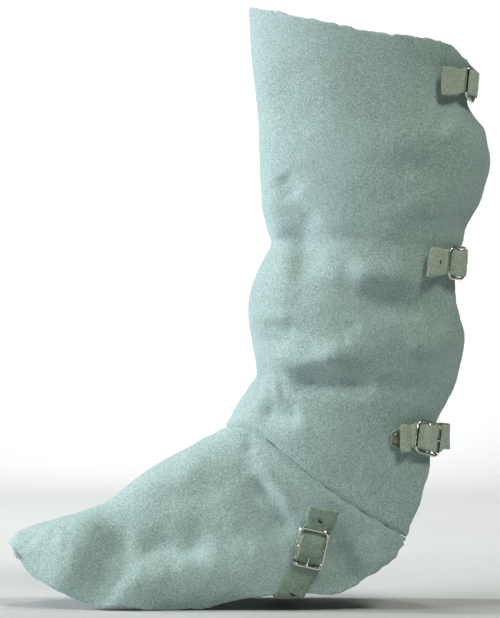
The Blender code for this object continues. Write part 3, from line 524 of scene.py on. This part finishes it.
def cut(obj, cutter, folded=False):
    """Take the cutter's shape out of the object for good."""
    mod = obj.modifiers.new("cut", "BOOLEAN")
    mod.operation = "DIFFERENCE"
    mod.solver = "EXACT"
    mod.use_self = folded
    mod.object = cutter
    dg = bpy.context.evaluated_depsgraph_get()
    mesh = bpy.data.meshes.new_from_object(obj.evaluated_get(dg))
    if not mesh.polygons:
        raise RuntimeError(obj.name + " was emptied by its cut")
    if folded:
        bm = bmesh.new()
        bm.from_mesh(mesh)
        bmesh.ops.remove_doubles(bm, verts=bm.verts, dist=0.003 * MM)
        bmesh.ops.dissolve_degenerate(bm, edges=bm.edges, dist=0.003 * MM)
        bm.to_mesh(mesh)
        bm.free()
    obj.modifiers.clear()
    obj.data = mesh
    bpy.data.objects.remove(cutter, do_unlink=True)


def unit(v):
    return np.asarray(v, float) / np.linalg.norm(v)


class Frame:
    """Local axes of a buckle: t towards the strap's tail, w across, n out."""

    def __init__(self, origin, t, n):
        self.o = np.asarray(origin, float)
        self.t = unit(t)
        self.w = unit(np.cross(n, self.t))
        self.n = np.cross(self.t, self.w)

    def at(self, s, w, n):
        return self.o + self.t * s + self.w * w + self.n * n


# ------------------------------------------------------------- materials
def start_material(name):
    m = bpy.data.materials.new(name)
    m.use_nodes = True
    nt = m.node_tree
    co = nt.nodes.new("ShaderNodeTexCoord").outputs["Object"]
    return m, nt, nt.nodes["Principled BSDF"], co


def noise_node(nt, co, scale, detail=3.0, rough=0.55, stretch=None, distortion=0.0):
    if stretch:
        mp = nt.nodes.new("ShaderNodeMapping")
        mp.inputs["Scale"].default_value = stretch
        nt.links.new(co, mp.inputs["Vector"])
        co = mp.outputs["Vector"]
    n = nt.nodes.new("ShaderNodeTexNoise")
    n.inputs["Scale"].default_value = scale
    n.inputs["Detail"].default_value = detail
    n.inputs["Roughness"].default_value = rough
    n.inputs["Distortion"].default_value = distortion
    nt.links.new(co, n.inputs["Vector"])
    return n.outputs["Fac"]


def math_node(nt, op, a, b=None, clamp=False):
    n = nt.nodes.new("ShaderNodeMath")
    n.operation = op
    n.use_clamp = clamp
    for i, v in enumerate((a, b)):
        if v is None:
            continue
        if hasattr(v, "is_linked") or hasattr(v, "links"):
            nt.links.new(v, n.inputs[i])
        else:
            n.inputs[i].default_value = v
    return n.outputs[0]


def weighted(nt, parts):
    """Weighted sum of outputs."""
    total = None
    for out, w in parts:
        one = math_node(nt, "MULTIPLY", out, w)
        total = one if total is None else math_node(nt, "ADD", total, one)
    return total


def ramp(nt, fac, stops):
    r = nt.nodes.new("ShaderNodeValToRGB")
    e = r.color_ramp.elements
    while len(e) < len(stops):
        e.new(0.5)
    for el, (pos, col) in zip(e, stops):
        el.position = pos
        el.color = (*col, 1.0)
    nt.links.new(fac, r.inputs["Fac"])
    return r.outputs["Color"]


def mix_colour(nt, fac, a, b):
    n = nt.nodes.new("ShaderNodeMix")
    n.data_type = "RGBA"
    for sock, v in ((n.inputs[0], fac), (n.inputs[6], a), (n.inputs[7], b)):
        if isinstance(v, (int, float)):
            sock.default_value = v
        elif isinstance(v, tuple):
            sock.default_value = (*v, 1.0)
        else:
            nt.links.new(v, sock)
    return n.outputs[2]


def bump(nt, p, height, strength, distance):
    b = nt.nodes.new("ShaderNodeBump")
    b.inputs["Strength"].default_value = strength
    b.inputs["Distance"].default_value = distance
    nt.links.new(height, b.inputs["Height"])
    nt.links.new(b.outputs["Normal"], p.inputs["Normal"])


def suede(name, dark, mid, light, cool, grain=1.0, sheen=0.22):
    """Napped split leather: fine fibre grain, mottles, and soft cool patches."""
    m, nt, p, co = start_material(name)
    fibre = noise_node(nt, co, 1350, 2.0, 0.55, distortion=0.3)
    clump = noise_node(nt, co, 560, 2.0, 0.5, distortion=0.6)
    mottle = noise_node(nt, co, 120, 2.0, 0.5)
    patch = noise_node(nt, co, 15, 1.0, 0.5)
    tone = weighted(nt, ((fibre, 1.10 * grain), (clump, 0.30 * grain), (mottle, 0.07), (patch, 0.10)))
    tone = math_node(nt, "ADD", tone, 0.5 - 0.5 * (1.40 * grain + 0.17))
    col = ramp(nt, tone, ((0.30, dark), (0.5, mid), (0.70, light)))
    cool_fac = ramp(nt, patch, ((0.44, (0.0, 0.0, 0.0)), (0.62, (0.35, 0.35, 0.35))))
    # the cool tint keeps the grain
    col = mix_colour(nt, cool_fac, col, mix_colour(nt, 0.5, col, cool))
    nt.links.new(col, p.inputs["Base Color"])
    p.inputs["Roughness"].default_value = 0.96
    p.inputs["Specular IOR Level"].default_value = 0.12
    p.inputs["Sheen Weight"].default_value = sheen
    p.inputs["Sheen Roughness"].default_value = 0.55
    p.inputs["Sheen Tint"].default_value = (0.86, 0.95, 1.0, 1.0)
    bump(nt, p, weighted(nt, ((fibre, 0.6), (clump, 0.5), (mottle, 0.12))), 0.55, 0.6 * MM)
    return m


def metal(name, colour, rough):
    m, nt, p, co = start_material(name)
    fine = noise_node(nt, co, 900, 2.0, 0.5)
    cloud = noise_node(nt, co, 160, 3.0, 0.6)
    dark = tuple(c * 0.86 for c in colour)
    nt.links.new(ramp(nt, cloud, ((0.35, dark), (0.6, colour))), p.inputs["Base Color"])
    p.inputs["Metallic"].default_value = 1.0
    nt.links.new(weighted(nt, ((cloud, rough * 1.2), (fine, rough * 0.5))), p.inputs["Roughness"])
    bump(nt, p, weighted(nt, ((fine, 0.4), (cloud, 0.6))), 0.10, 0.3 * MM)
    return m


SUEDE = suede("suede", (0.225, 0.330, 0.310), (0.370, 0.490, 0.468), (0.57, 0.69, 0.675),
              (0.35, 0.51, 0.525))
SUEDE_EDGE = suede("suede_cut_edge", (0.36, 0.52, 0.52), (0.50, 0.66, 0.665), (0.66, 0.79, 0.80),
                   (0.48, 0.66, 0.70), 1.2, 0.3)
STRAP = suede("strap_leather", (0.29, 0.36, 0.285), (0.45, 0.535, 0.445), (0.63, 0.715, 0.62),
              (0.45, 0.55, 0.485), 1.1, 0.18)
STRAP_FOOT = suede("foot_strap_leather", (0.135, 0.192, 0.150), (0.228, 0.302, 0.240),
                   (0.35, 0.43, 0.36), (0.24, 0.32, 0.275), 1.1, 0.12)
STRAP_EDGE = suede("strap_cut_edge", (0.24, 0.30, 0.24), (0.35, 0.42, 0.35), (0.50, 0.57, 0.50),
                   (0.36, 0.43, 0.38), 1.2, 0.25)
# the chape is much darker than its strap: its tone is partly the leather's own and partly painted shade
# under the tails and round the rivets
CHAPE_AND_SHADE = suede("chape_leather_and_painted_shade", (0.115, 0.155, 0.115), (0.185, 0.235, 0.175), (0.27, 0.33, 0.26),
              (0.19, 0.24, 0.20), 0.9, 0.12)
NICKEL = metal("bright_nickel", (0.88, 0.85, 0.77), 0.22)
RIVET_NICKEL = metal("rivet_nickel", (0.50, 0.46, 0.38), 0.46)
THREAD = suede("thread", (0.52, 0.60, 0.58), (0.68, 0.76, 0.74), (0.82, 0.87, 0.86),
               (0.70, 0.78, 0.78), 0.8, 0.2)

# ----------------------------------------------------------------- panels
def even_rows(table, first, last, pitch, th_share=0.5):
    """Row numbers that give even steps along a panel's side."""
    k = np.linspace(first, last, 1200)
    r = rows(table, k)
    p = ring_point(r, r[:, 5] * th_share)
    s = np.concatenate([[0], np.cumsum(np.linalg.norm(np.diff(p, axis=0), axis=1))])
    count = max(2, int(round(s[-1] / pitch)))
    return np.interp(np.linspace(0, s[-1], count + 1), s, k)


def even_share(row, count):
    """Shares of the opening angle that give even steps round a ring."""
    th = np.linspace(-row[5], row[5], 1500)
    p = ring_point(np.broadcast_to(row, (1500, 8)), th)
    s = np.concatenate([[0], np.cumsum(np.linalg.norm(np.diff(p, axis=0), axis=1))])
    return np.interp(np.linspace(0, s[-1], count), s, th) / row[5]


AROUND = 236
k_shaft = even_rows(SHAFT_RINGS, 0, 19.70, 1.75 * MM)
k_shaft = np.concatenate([k_shaft[:-1], np.linspace(19.70, SEAM_ROW, 15)])
share_top = even_share(rows(SHAFT_RINGS, 5.0), AROUND)
share_seam = even_share(rows(SHAFT_RINGS, SEAM_ROW), AROUND)
blend_k = np.clip(k_shaft / SEAM_ROW, 0, 1)[:, None]
shares = share_top[None, :] * (1 - blend_k) + share_seam[None, :] * blend_k
th = shares * rows(SHAFT_RINGS, k_shaft)[:, 5][:, None]
outer = leather(SHAFT_RINGS, SHAFT_CREASES, k_shaft[:, None], th, 0.0, True, 0.35 * MM)
inner = leather(SHAFT_RINGS, SHAFT_CREASES, k_shaft[:, None], th, -WALL, True, 0.35 * MM)
shaft_obj, shaft_rim, shaft_rim_in, shaft_dirs = shell(
    "suede_shaft", outer, inner, [SUEDE, SUEDE_EDGE], 0.35 * MM, 0.45 * MM)
shaft_edge, shaft_edge_in = outer[-1], inner[-1]

k_vamp = even_rows(VAMP_RIBS, 0.55, VAMP_LAST, 1.7 * MM)
k_vamp = np.concatenate([np.linspace(0, 0.55, 13)[:-1], k_vamp])
share_toe = even_share(rows(VAMP_RIBS, 9.0), AROUND)
blend_k = np.clip(k_vamp / 5.0, 0, 1)[:, None]
shares = share_seam[None, :] * (1 - blend_k) + share_toe[None, :] * blend_k
th = shares * rows(VAMP_RIBS, k_vamp)[:, 5][:, None]
outer_v = leather(VAMP_RIBS, VAMP_CREASES, k_vamp[:, None], th, 0.0, True, 0.85 * MM)
inner_v = leather(VAMP_RIBS, VAMP_CREASES, k_vamp[:, None], th, -WALL, True, 0.85 * MM)
# the vamp's first row is the shaft's last one, a hair further on
for grid, line in ((outer_v, shaft_edge), (inner_v, shaft_edge_in)):
    gap = line - grid[0]
    along = grid[1] - grid[0]
    along /= np.linalg.norm(along, axis=-1, keepdims=True)
    for i in range(12):
        grid[i] += gap * (1 - i / 12) ** 2
    grid[0] += along * 0.12 * MM
vamp_obj, vamp_rim, vamp_rim_in, vamp_dirs = shell(
    "suede_vamp", outer_v, inner_v, [SUEDE, SUEDE_EDGE], 0.35 * MM, 0.45 * MM)

# --------------------------------------------------------------- closures
def strap_stations(base, fr, half, tail, w_run, flare, skew=0.0):
    """Underside of the strap from its tail to just past the load-side bar."""
    below = -(WIRE_R + GAP + STRAP_T)
    over = WIRE_R + 2.0 * MM
    seat = CLEAR + 2 * CHAPE_T + CHAPE_SPLIT + 2 * GAP
    out = []
    for share in (1.0, 0.8, 0.6, 0.4, 0.2):
        s = half + (tail - half) * share
        lift = seat + (1.3 + 1.0 * share) * MM * min(1.0, max(0.0, share - 0.2) * 2.5)
        wide = 1 + flare * min(1.0, 1.6 * share)
        out.append([base(s + skew * w * share, w * wide, lift) for w in w_run])
    for s, n in ((half + 0.8 * MM, below), (half - 1.3 * MM, below + 0.1 * MM),
                 (half * 0.62, below * 0.45), (half * 0.30, over * 0.80),
                 (0.0, over), (-half * 0.32, over * 0.90), (-half * 0.60, over * 0.05),
                 (-half + 1.6 * MM, below + 0.1 * MM), (-half - 0.8 * MM, below)):
        out.append([fr.at(s, w, n) for w in w_run])
    return out


def buckle_frame(base, half, side, turn=0.0):
    """Axes of the buckle: each outer bar rests over the strap beneath it."""
    up = unit(base(0, 0, 5 * MM) - base(0, 0, 0))
    c, d = math.cos(turn), math.sin(turn)
    ends = []
    for s, under in ((half, CLEAR + 2 * CHAPE_T + CHAPE_SPLIT + GAP + STRAP_T),
                     (-half, CLEAR + STRAP_T)):
        mid = base(s, 0, 0)
        high = max(float(np.dot(base((s + ds) * c + w * d, w * c - (s + ds) * d, under) - mid, up))
                   for w in (-side, -side / 2, 0.0, side / 2, side)
                   for ds in (-WIRE_R, 0.0, WIRE_R))
        ends.append(mid + up * (high + 2 * GAP + WIRE_R))
    flat = Frame((ends[0] + ends[1]) / 2, ends[0] - ends[1], up)
    return Frame(flat.o, flat.t * math.cos(turn) - flat.w * math.sin(turn), flat.n)


def strap_band(name, stations, per, seed, mat):
    """Strap with rounded cut edges; its underside runs through the stations."""
    low = smooth_run(stations, per)
    # finer across, with a slight cup
    cols = low.shape[1]
    fine = np.linspace(0, cols - 1, 13)
    i = np.minimum(fine.astype(int), cols - 2)
    f = (fine - i)[None, :, None]
    low = low[:, i] * (1 - f) + low[:, i + 1] * f
    n = -grid_normals(low)
    edge = np.abs(np.linspace(-1, 1, 13))[None, :, None]
    rough = (LUMPS(low * 1.3 + seed) * 0.10 * MM)[..., None]
    top = low + n * (STRAP_T - 0.22 * MM * edge ** 6 + rough)
    low2 = low + n * (0.18 * MM * edge ** 6)
    obj, rim_o, rim_i, dirs = shell(name, top, low2, [mat, STRAP_EDGE], 0.22 * MM, 0.22 * MM)
    return obj, rim_o, rim_i, dirs


def pin_cutter(origin, axis, radius, half):
    a = Vector(axis).normalized()
    o = Vector(origin)
    return tube("cutter", [o - a * half, o + a * half], radius, 20, STRAP_EDGE)


def box_cutter(fr, s0, s1, w, n0, n1):
    v = [fr.at(s, a, n) for s in (s0, s1) for a in (-w, w) for n in (n0, n1)]
    f = ((0, 1, 3, 2), (4, 6, 7, 5), (0, 4, 5, 1), (2, 3, 7, 6), (0, 2, 6, 4), (1, 5, 7, 3))
    return new_object("cutter", v, f, [STRAP_EDGE])


def rivet_head(name, origin, axis):
    """Low rivet head with a rolled rim."""
    a = Vector(axis).normalized()
    u = a.orthogonal().normalized()
    v = a.cross(u)
    o = Vector(origin)
    prof = [(0.96, -0.02), (1.0, 0.12), (1.0, 0.42), (0.94, 0.58), (0.86, 0.62), (0.79, 0.55),
            (0.74, 0.50), (0.60, 0.56), (0.42, 0.61), (0.22, 0.64)]
    verts, faces = [], []
    sides = 28
    for r, h in prof:
        for s in range(sides):
            q = 2 * math.pi * s / sides
            verts.append(o + a * RIVET_H * h + (u * math.cos(q) + v * math.sin(q)) * RIVET_R * r)
    for i in range(len(prof) - 1):
        for s in range(sides):
            t = (s + 1) % sides
            faces.append((i * sides + s, i * sides + t, (i + 1) * sides + t, (i + 1) * sides + s))
    verts.append(o + a * RIVET_H * 0.65)
    tip = len(verts) - 1
    last = (len(prof) - 1) * sides
    for s in range(sides):
        faces.append((last + s, last + (s + 1) % sides, tip))
    faces.append(tuple(range(sides))[::-1])
    return new_object(name, verts, faces, [RIVET_NICKEL])


def put(obj, nodes):
    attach(obj, "root")
    if nodes:
        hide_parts(*nodes)


def hardware(name, base, fr, width, length, strap_w, tail, strap, corner, hole):
    half = length / 2 - WIRE_R
    side = width / 2 - WIRE_R

    # frame: wire with round corners, and its centre bar
    loop = []
    for cs, cw, a0 in ((1, 1, 0), (-1, 1, 90), (-1, -1, 180), (1, -1, 270)):
        for k in range(9):
            a = (a0 + 11.25 * k) * DEG
            loop.append((cs * (half - corner[0]) + corner[0] * math.cos(a),
                         cw * (side - corner[1]) + corner[1] * math.sin(a)))
    # extra points along the straight sides
    full = []
    for i, (s, w) in enumerate(loop):
        s2, w2 = loop[(i + 1) % len(loop)]
        full.append((s, w))
        d = math.hypot(s2 - s, w2 - w)
        for j in range(1, int(d / (1.2 * MM))):
            t = j / int(d / (1.2 * MM))
            full.append((s + (s2 - s) * t, w + (w2 - w) * t))
    # the foot buckle's end bars are broad and domed
    broad = 0.30 if name == "foot" else 0.10
    ends = [min(1.0, max(0.0, (abs(s) / half - 0.78) / 0.22)) for s, w in full]
    wire = tube(name + "_wire", [fr.at(s, w, broad * WIRE_R * e) for (s, w), e in zip(full, ends)],
                [WIRE_R * (1 + broad * e) for e in ends], 16, NICKEL, True)
    bar = tube(name + "_bar", [fr.at(0, w, 0) for w in np.linspace(-side, side, 9)],
               WIRE_R * 0.94, 16, NICKEL)
    buckle = merge(name + "_frame", [wire, bar])
    put(buckle, [name + "_buckle"])

    eye = WIRE_R + 0.15 * MM + PRONG_R
    tip = WIRE_R + 0.12 * MM + PRONG_R
    run = [fr.at(eye * math.cos(a * DEG), 0, eye * math.sin(a * DEG)) for a in range(-140, 91, 22)]
    run += [fr.at(-half * 0.4, 0, eye + 0.1 * MM), fr.at(-half * 0.8, 0, tip + 0.15 * MM),
            fr.at(-half - 1.3 * MM, 0, tip + 0.05 * MM)]
    run = smooth_run(run, 3)
    radii = [PRONG_R * (0.92 + 0.16 * math.sin(math.pi * i / len(run))) for i in range(len(run))]
    radii[-1], radii[-2], radii[-3] = PRONG_R * 0.35, PRONG_R * 0.75, PRONG_R * 0.9
    prong = tube(name + "_tongue", run, radii, 12, NICKEL)
    put(prong, [name + "_prong"])

    # chape: a doubled strip folded round the centre bar
    turn = WIRE_R + 0.3 * MM + CHAPE_T / 2
    chape_w = strap_w * 0.80
    mid_lo, mid_hi = CLEAR + CHAPE_T / 2, CLEAR + CHAPE_T * 1.5 + CHAPE_SPLIT
    flat = (CHAPE_END, 22.5 * MM, 20 * MM, 17 * MM, 13 * MM, 9 * MM)

    def chape_row(kind, v):
        row = []
        for w in np.linspace(-0.5, 0.5, 9):
            if kind == "turn":
                row.append(fr.at(turn * math.cos(v), w * chape_w, turn * math.sin(v)))
            else:
                s, lift = v
                near_end = max(0.0, (s - 19 * MM) / (CHAPE_END - 19 * MM))
                row.append(base(s, w * chape_w * (1 - 0.45 * near_end ** 2), lift))
        return row

    stations = [chape_row("flat", (s, mid_lo)) for s in flat]
    stations += [chape_row("turn", a * DEG) for a in (-72, -108, -144, -180, -216, -252, -288)]
    stations += [chape_row("flat", (s, mid_hi)) for s in flat[::-1]]
    mid = smooth_run(stations, 4)
    n = grid_normals(mid)
    # the chape's dark leather paints the shade under the strap's tail and round the rivet, as well as
    # its own colour
    chape = shell(name + "_loop", mid + n * CHAPE_T / 2, mid - n * CHAPE_T / 2,
                  [CHAPE_AND_SHADE, STRAP_EDGE], 0.12 * MM, 0.08 * MM)[0]
    cut(chape, box_cutter(fr, -4.2 * MM, 4.8 * MM, 1.6 * MM, -4 * MM, 4 * MM), True)
    put(chape, [name + "_chape"])
    seat = CLEAR + 2 * CHAPE_T + CHAPE_SPLIT + GAP
    at = base(RIVET_AT, 0, seat)
    put(rivet_head(name + "_loop_rivet", at, at - base(RIVET_AT, 0, 0)),
        [name + "_chape_rivet"])

    cut(strap, box_cutter(fr, -half * 0.88, -half * 0.34, 0.95 * MM, -2.5 * MM, 6.5 * MM))
    if hole:
        at = base(hole, 0, 0)
        cut(strap, pin_cutter(at, base(hole, 0, 5 * MM) - at, HOLE_R, 11 * MM))
    strap.data.shade_smooth()


def level_row(th, z):
    th, z = np.broadcast_arrays(np.asarray(th, float), z)
    lo, hi = np.zeros(th.shape), np.full(th.shape, float(SEAM_ROW))
    for _ in range(36):
        m = (lo + hi) / 2
        above = ring_point(rows(SHAFT_RINGS, m), th)[..., 2] > z
        lo, hi = np.where(above, m, lo), np.where(above, hi, m)
    return (lo + hi) / 2


STRAP_W = BACK_W - 4 * WIRE_R - BACK_PLAY
for name, level, bar_in, tail, past, turn in CLOSURES:
    level, bar_in, tail, past, turn = level * MM, bar_in * MM, tail * MM, past * MM, turn * DEG
    sweep = np.arange(60, 301) * DEG
    k_line = level_row(sweep, level)
    line = ring_point(rows(SHAFT_RINGS, k_line), sweep)
    length = np.concatenate([[0], np.cumsum(np.linalg.norm(np.diff(line, axis=0), axis=1))])
    open_line = rows(SHAFT_RINGS, k_line)[:, 5]
    near = np.interp(0, sweep - open_line, length)
    far = np.interp(0, sweep - (2 * math.pi - open_line), length)
    s_all = near - bar_in - length

    def base(s, w, lift, s_all=s_all, sweep=sweep, level=level):
        th = np.interp(-np.asarray(s, float), -s_all, sweep)
        return shaft(level_row(th, level - np.asarray(w, float)), th, lift)

    s_far = near - bar_in - (far + past + 7 * MM)
    half = BACK_L / 2 - WIRE_R
    fr = buckle_frame(base, half, BACK_W / 2 - WIRE_R, turn)
    w_run = np.linspace(-0.5, 0.5, 5) * STRAP_W
    stations = strap_stations(base, fr, half, tail, w_run, FLARE_BACK)
    stations += [[base(s, w, CLEAR) for w in w_run]
                 for s in np.linspace(-half - 5.5 * MM, s_far, 9)]
    strap, rim_o, rim_i, dirs = strap_band(name + "_band", stations, 5, len(name), STRAP)
    hardware(name, base, fr, BACK_W, BACK_L, STRAP_W, tail, strap, BACK_CORNER,
             half + 6.5 * MM if name == "middle" else None)
    put(strap, [name + "_strap"])
    s_riv = near - bar_in - (far + past)
    at = base(s_riv, 0, CLEAR + STRAP_T + GAP)
    put(rivet_head(name + "_band_rivet", at, at - base(s_riv, 0, 0)),
        [name + "_strap_rivet"])


# ------------------------------------------------------------- foot strap
def on_vamp(y, z, side, lift):
    """Point over the vamp's outer or inner side where it shows at (y, z)."""
    y, z, lift = np.broadcast_arrays(np.asarray(y, float), z, lift)
    flat_y, flat_z = y.ravel(), z.ravel()
    kk, ss = np.meshgrid(np.linspace(0, VAMP_LAST, 61), np.linspace(0.12, 1, 45), indexing="ij")
    tt = ss * rows(VAMP_RIBS, kk)[..., 5] * side
    grid = ring_point(rows(VAMP_RIBS, kk), tt)
    k, t = np.empty(flat_y.shape), np.empty(flat_y.shape)
    for i, (yy, zz) in enumerate(zip(flat_y, flat_z)):
        j = np.argmin((grid[..., 1] - yy) ** 2 + (grid[..., 2] - zz) ** 2)
        k[i], t[i] = kk.ravel()[j], tt.ravel()[j]
    for _ in range(12):
        p = vamp(k, t)
        pk, pt = vamp(np.clip(k + 0.02, 0, VAMP_LAST), t), vamp(k, t + 0.004)
        ay, az = (pk - p)[:, 1] / 0.02, (pk - p)[:, 2] / 0.02
        by, bz = (pt - p)[:, 1] / 0.004, (pt - p)[:, 2] / 0.004
        ey, ez = flat_y - p[:, 1], flat_z - p[:, 2]
        det = ay * bz - az * by
        det = np.where(np.abs(det) < 1e-9, 1e-9, det)
        k = np.clip(k + np.clip((ey * bz - ez * by) / det, -0.5, 0.5), 0, 14.9)
        t = t + np.clip((ay * ez - az * ey) / det, -0.1, 0.1)
    return vamp(k, t, lift.ravel()).reshape(y.shape + (3,))


foot_pts = smooth_run(np.array(FOOT_LINE) * MM, 12)
foot_d = np.gradient(foot_pts, axis=0)
foot_d /= np.linalg.norm(foot_d, axis=1, keepdims=True)
mid3 = on_vamp(foot_pts[:, 0], foot_pts[:, 1], 1, 0.0)
run_len = np.concatenate([[0], np.cumsum(np.linalg.norm(np.diff(mid3, axis=0), axis=1))])
bar_at = run_len[np.argmin((foot_pts[:, 0] - FOOT_BAR_Y * MM) ** 2
                           + (foot_pts[:, 1] - FOOT_BAR_Z * MM) ** 2)]
foot_s = bar_at - run_len
FOOT_STRAP_W = FOOT_W - 4 * WIRE_R - FOOT_PLAY


def foot_base(s, w, lift):
    s, w, lift = np.broadcast_arrays(np.asarray(s, float), w, lift)
    u = -s
    y, z = np.interp(u, -foot_s, foot_pts[:, 0]), np.interp(u, -foot_s, foot_pts[:, 1])
    dy, dz = np.interp(u, -foot_s, foot_d[:, 0]), np.interp(u, -foot_s, foot_d[:, 1])
    beyond = np.maximum(s - foot_s[0], 0)
    y, z = y - dy * beyond, z - dz * beyond
    return on_vamp(y + dz * w, z - dy * w, 1, lift)


half = FOOT_L / 2 - WIRE_R
tail = float(foot_s[0])
fr = buckle_frame(foot_base, half, FOOT_W / 2 - WIRE_R, FOOT_TURN)
w_run = np.linspace(-0.5, 0.5, 5) * FOOT_STRAP_W
near_part = strap_stations(foot_base, fr, half, tail, w_run, FLARE_FOOT, FOOT_SKEW)
w_run = w_run * (1 + 0.6 * FLARE_FOOT)
near_part += [[foot_base(s, w, CLEAR) for w in w_run]
              for s in np.linspace(-half - 5.5 * MM, float(foot_s[-1]), 3)]
near_part = np.array(near_part)
hem_mid = near_part[-1, 2]
hem_y, hem_z, hem_x = hem_mid[1], hem_mid[2], hem_mid[0]
under = []
for in_x, over, ahead in ((-0.2, 1.6, 0.8), (1.3, 0.4, 1.5), (4.0, 0.1, 2.0), (16.0, 0.0, 2.5)):
    under.append([(hem_x - in_x * MM, hem_y - ahead * MM - w, (FOOT_UNDER_Z + over) * MM)
                  for w in w_run])
under += [[(-x, y, z) for x, y, z in row] for row in under[::-1]]
far_part = []
for climb in (0.0, 0.33, 0.66, 1.0):
    z = hem_z + climb * FOOT_FAR_TOP * MM
    y = hem_y - 1.0 * MM + climb * 6 * MM
    far_part.append([on_vamp(y - w, z, -1, CLEAR) for w in w_run])
foot, rim_o, rim_i, dirs = strap_band(
    "foot_band", np.concatenate([near_part, np.asarray(under), np.asarray(far_part)]), 5, 9, STRAP_FOOT)
hardware("foot", foot_base, fr, FOOT_W, FOOT_L, FOOT_STRAP_W, tail, foot, FOOT_CORNER,
         half + 6.5 * MM)
put(foot, ["foot_strap"])
at_y, at_z = hem_y - 1.0 * MM + 0.72 * 6 * MM, hem_z + 0.72 * FOOT_FAR_TOP * MM
at = on_vamp(at_y, at_z, -1, CLEAR + STRAP_T + GAP)
put(rivet_head("foot_band_rivet", at, at - on_vamp(at_y, at_z, -1, 0.0)),
    ["foot_strap_rivet"])

put(shaft_obj, ["shaft"])
put(vamp_obj, ["vamp"])


# ------------------------------------------------------- stage, light, camera
def stage_material():
    m, nt, p, co = start_material("backdrop")
    cloud = noise_node(nt, co, 2.0, 2.0, 0.5)
    nt.links.new(ramp(nt, cloud, ((0.3, (0.56, 0.565, 0.56)), (0.7, (0.59, 0.595, 0.59)))),
                 p.inputs["Base Color"])
    p.inputs["Roughness"].default_value = 0.9
    p.inputs["Specular IOR Level"].default_value = 0.1
    return m


def backdrop():
    """Pale floor that curves up into a wall behind the object."""
    floor_z = cad_lo[2] - 0.4 * MM
    prof = [(3.6, floor_z), (-1.6, floor_z)]
    prof += [(-1.6 - 1.0 * math.sin(a * DEG), floor_z + 1.0 * (1 - math.cos(a * DEG)))
             for a in range(6, 91, 6)]
    prof += [(-2.6, 3.2)]
    verts, faces = [], []
    for x, z in prof:
        verts += [(x, -3.6, z), (x, 3.6, z)]
    for i in range(len(prof) - 1):
        faces.append((2 * i, 2 * i + 1, 2 * i + 3, 2 * i + 2))
    obj = new_object("backdrop", verts, faces, [stage_material()])


def area_light(name, at, look, size, watts, colour):
    data = bpy.data.lights.new(name, "AREA")
    data.shape = "DISK"
    data.size = size
    data.energy = watts
    data.color = colour
    obj = bpy.data.objects.new(name, data)
    bpy.context.collection.objects.link(obj)
    obj.location = at
    obj.rotation_mode = "QUATERNION"
    obj.rotation_quaternion = (Vector(look) - Vector(at)).to_track_quat("-Z", "Y")


def spot(name, at, look, cone, watts):
    data = bpy.data.lights.new(name, "SPOT")
    data.energy = watts
    data.spot_size = cone * DEG
    data.spot_blend = 1.0
    data.shadow_soft_size = 0.15
    obj = bpy.data.objects.new(name, data)
    bpy.context.collection.objects.link(obj)
    obj.location = at
    obj.rotation_mode = "QUATERNION"
    obj.rotation_quaternion = (Vector(look) - Vector(at)).to_track_quat("-Z", "Y")


backdrop()


def studio(name, azimuth, elevation, away, size, watts, colour):
    a, e = azimuth * DEG, elevation * DEG
    at = Vector((math.cos(a) * math.cos(e), -math.sin(a) * math.cos(e), math.sin(e))) * away
    area_light(name, at, (0, -0.05, 0), size, watts, colour)


# azimuth from the camera's side towards the toe
studio("key", 99, 20, 2.6, 0.7, 58, (0.94, 0.99, 1.02))
studio("front", 72, 16, 2.6, 0.8, 22, (0.94, 0.99, 1.02))
studio("top", 48, 52, 2.6, 0.8, 10, (0.98, 0.99, 1.0))
studio("fill", -36, 50, 2.6, 0.9, 29, (0.97, 1.0, 0.85))
# spots for the wall and the floor behind, clear of the leather
spot("wall_left", (-0.9, -0.75, 1.9), (-2.6, -0.30, 0.05), 54, 165)
spot("wall_right", (-0.9, 0.75, 1.9), (-2.6, 0.15, 0.05), 54, 165)
spot("floor_back", (-1.5, -0.08, 2.3), (-1.1, -0.08, -0.23), 56, 185)

world = bpy.data.worlds.new("studio")
scene.world = world
world.use_nodes = True
bg = world.node_tree.nodes["Background"]
bg.inputs["Color"].default_value = (0.86, 0.93, 1.0, 1.0)
bg.inputs["Strength"].default_value = 0.005

cam_data = bpy.data.cameras.new("camera")
cam_data.lens = 224.4
cam_data.sensor_width = 36.0
cam_data.clip_start, cam_data.clip_end = 0.05, 20.0
cam = bpy.data.objects.new("camera", cam_data)
bpy.context.collection.objects.link(cam)
cam.location = (2.6, -0.0763, -0.0317)
cam.rotation_euler = (90 * DEG, 0, 90 * DEG)
scene.camera = cam
scene.view_settings.view_transform = "Standard"
scene.view_settings.look = "None"
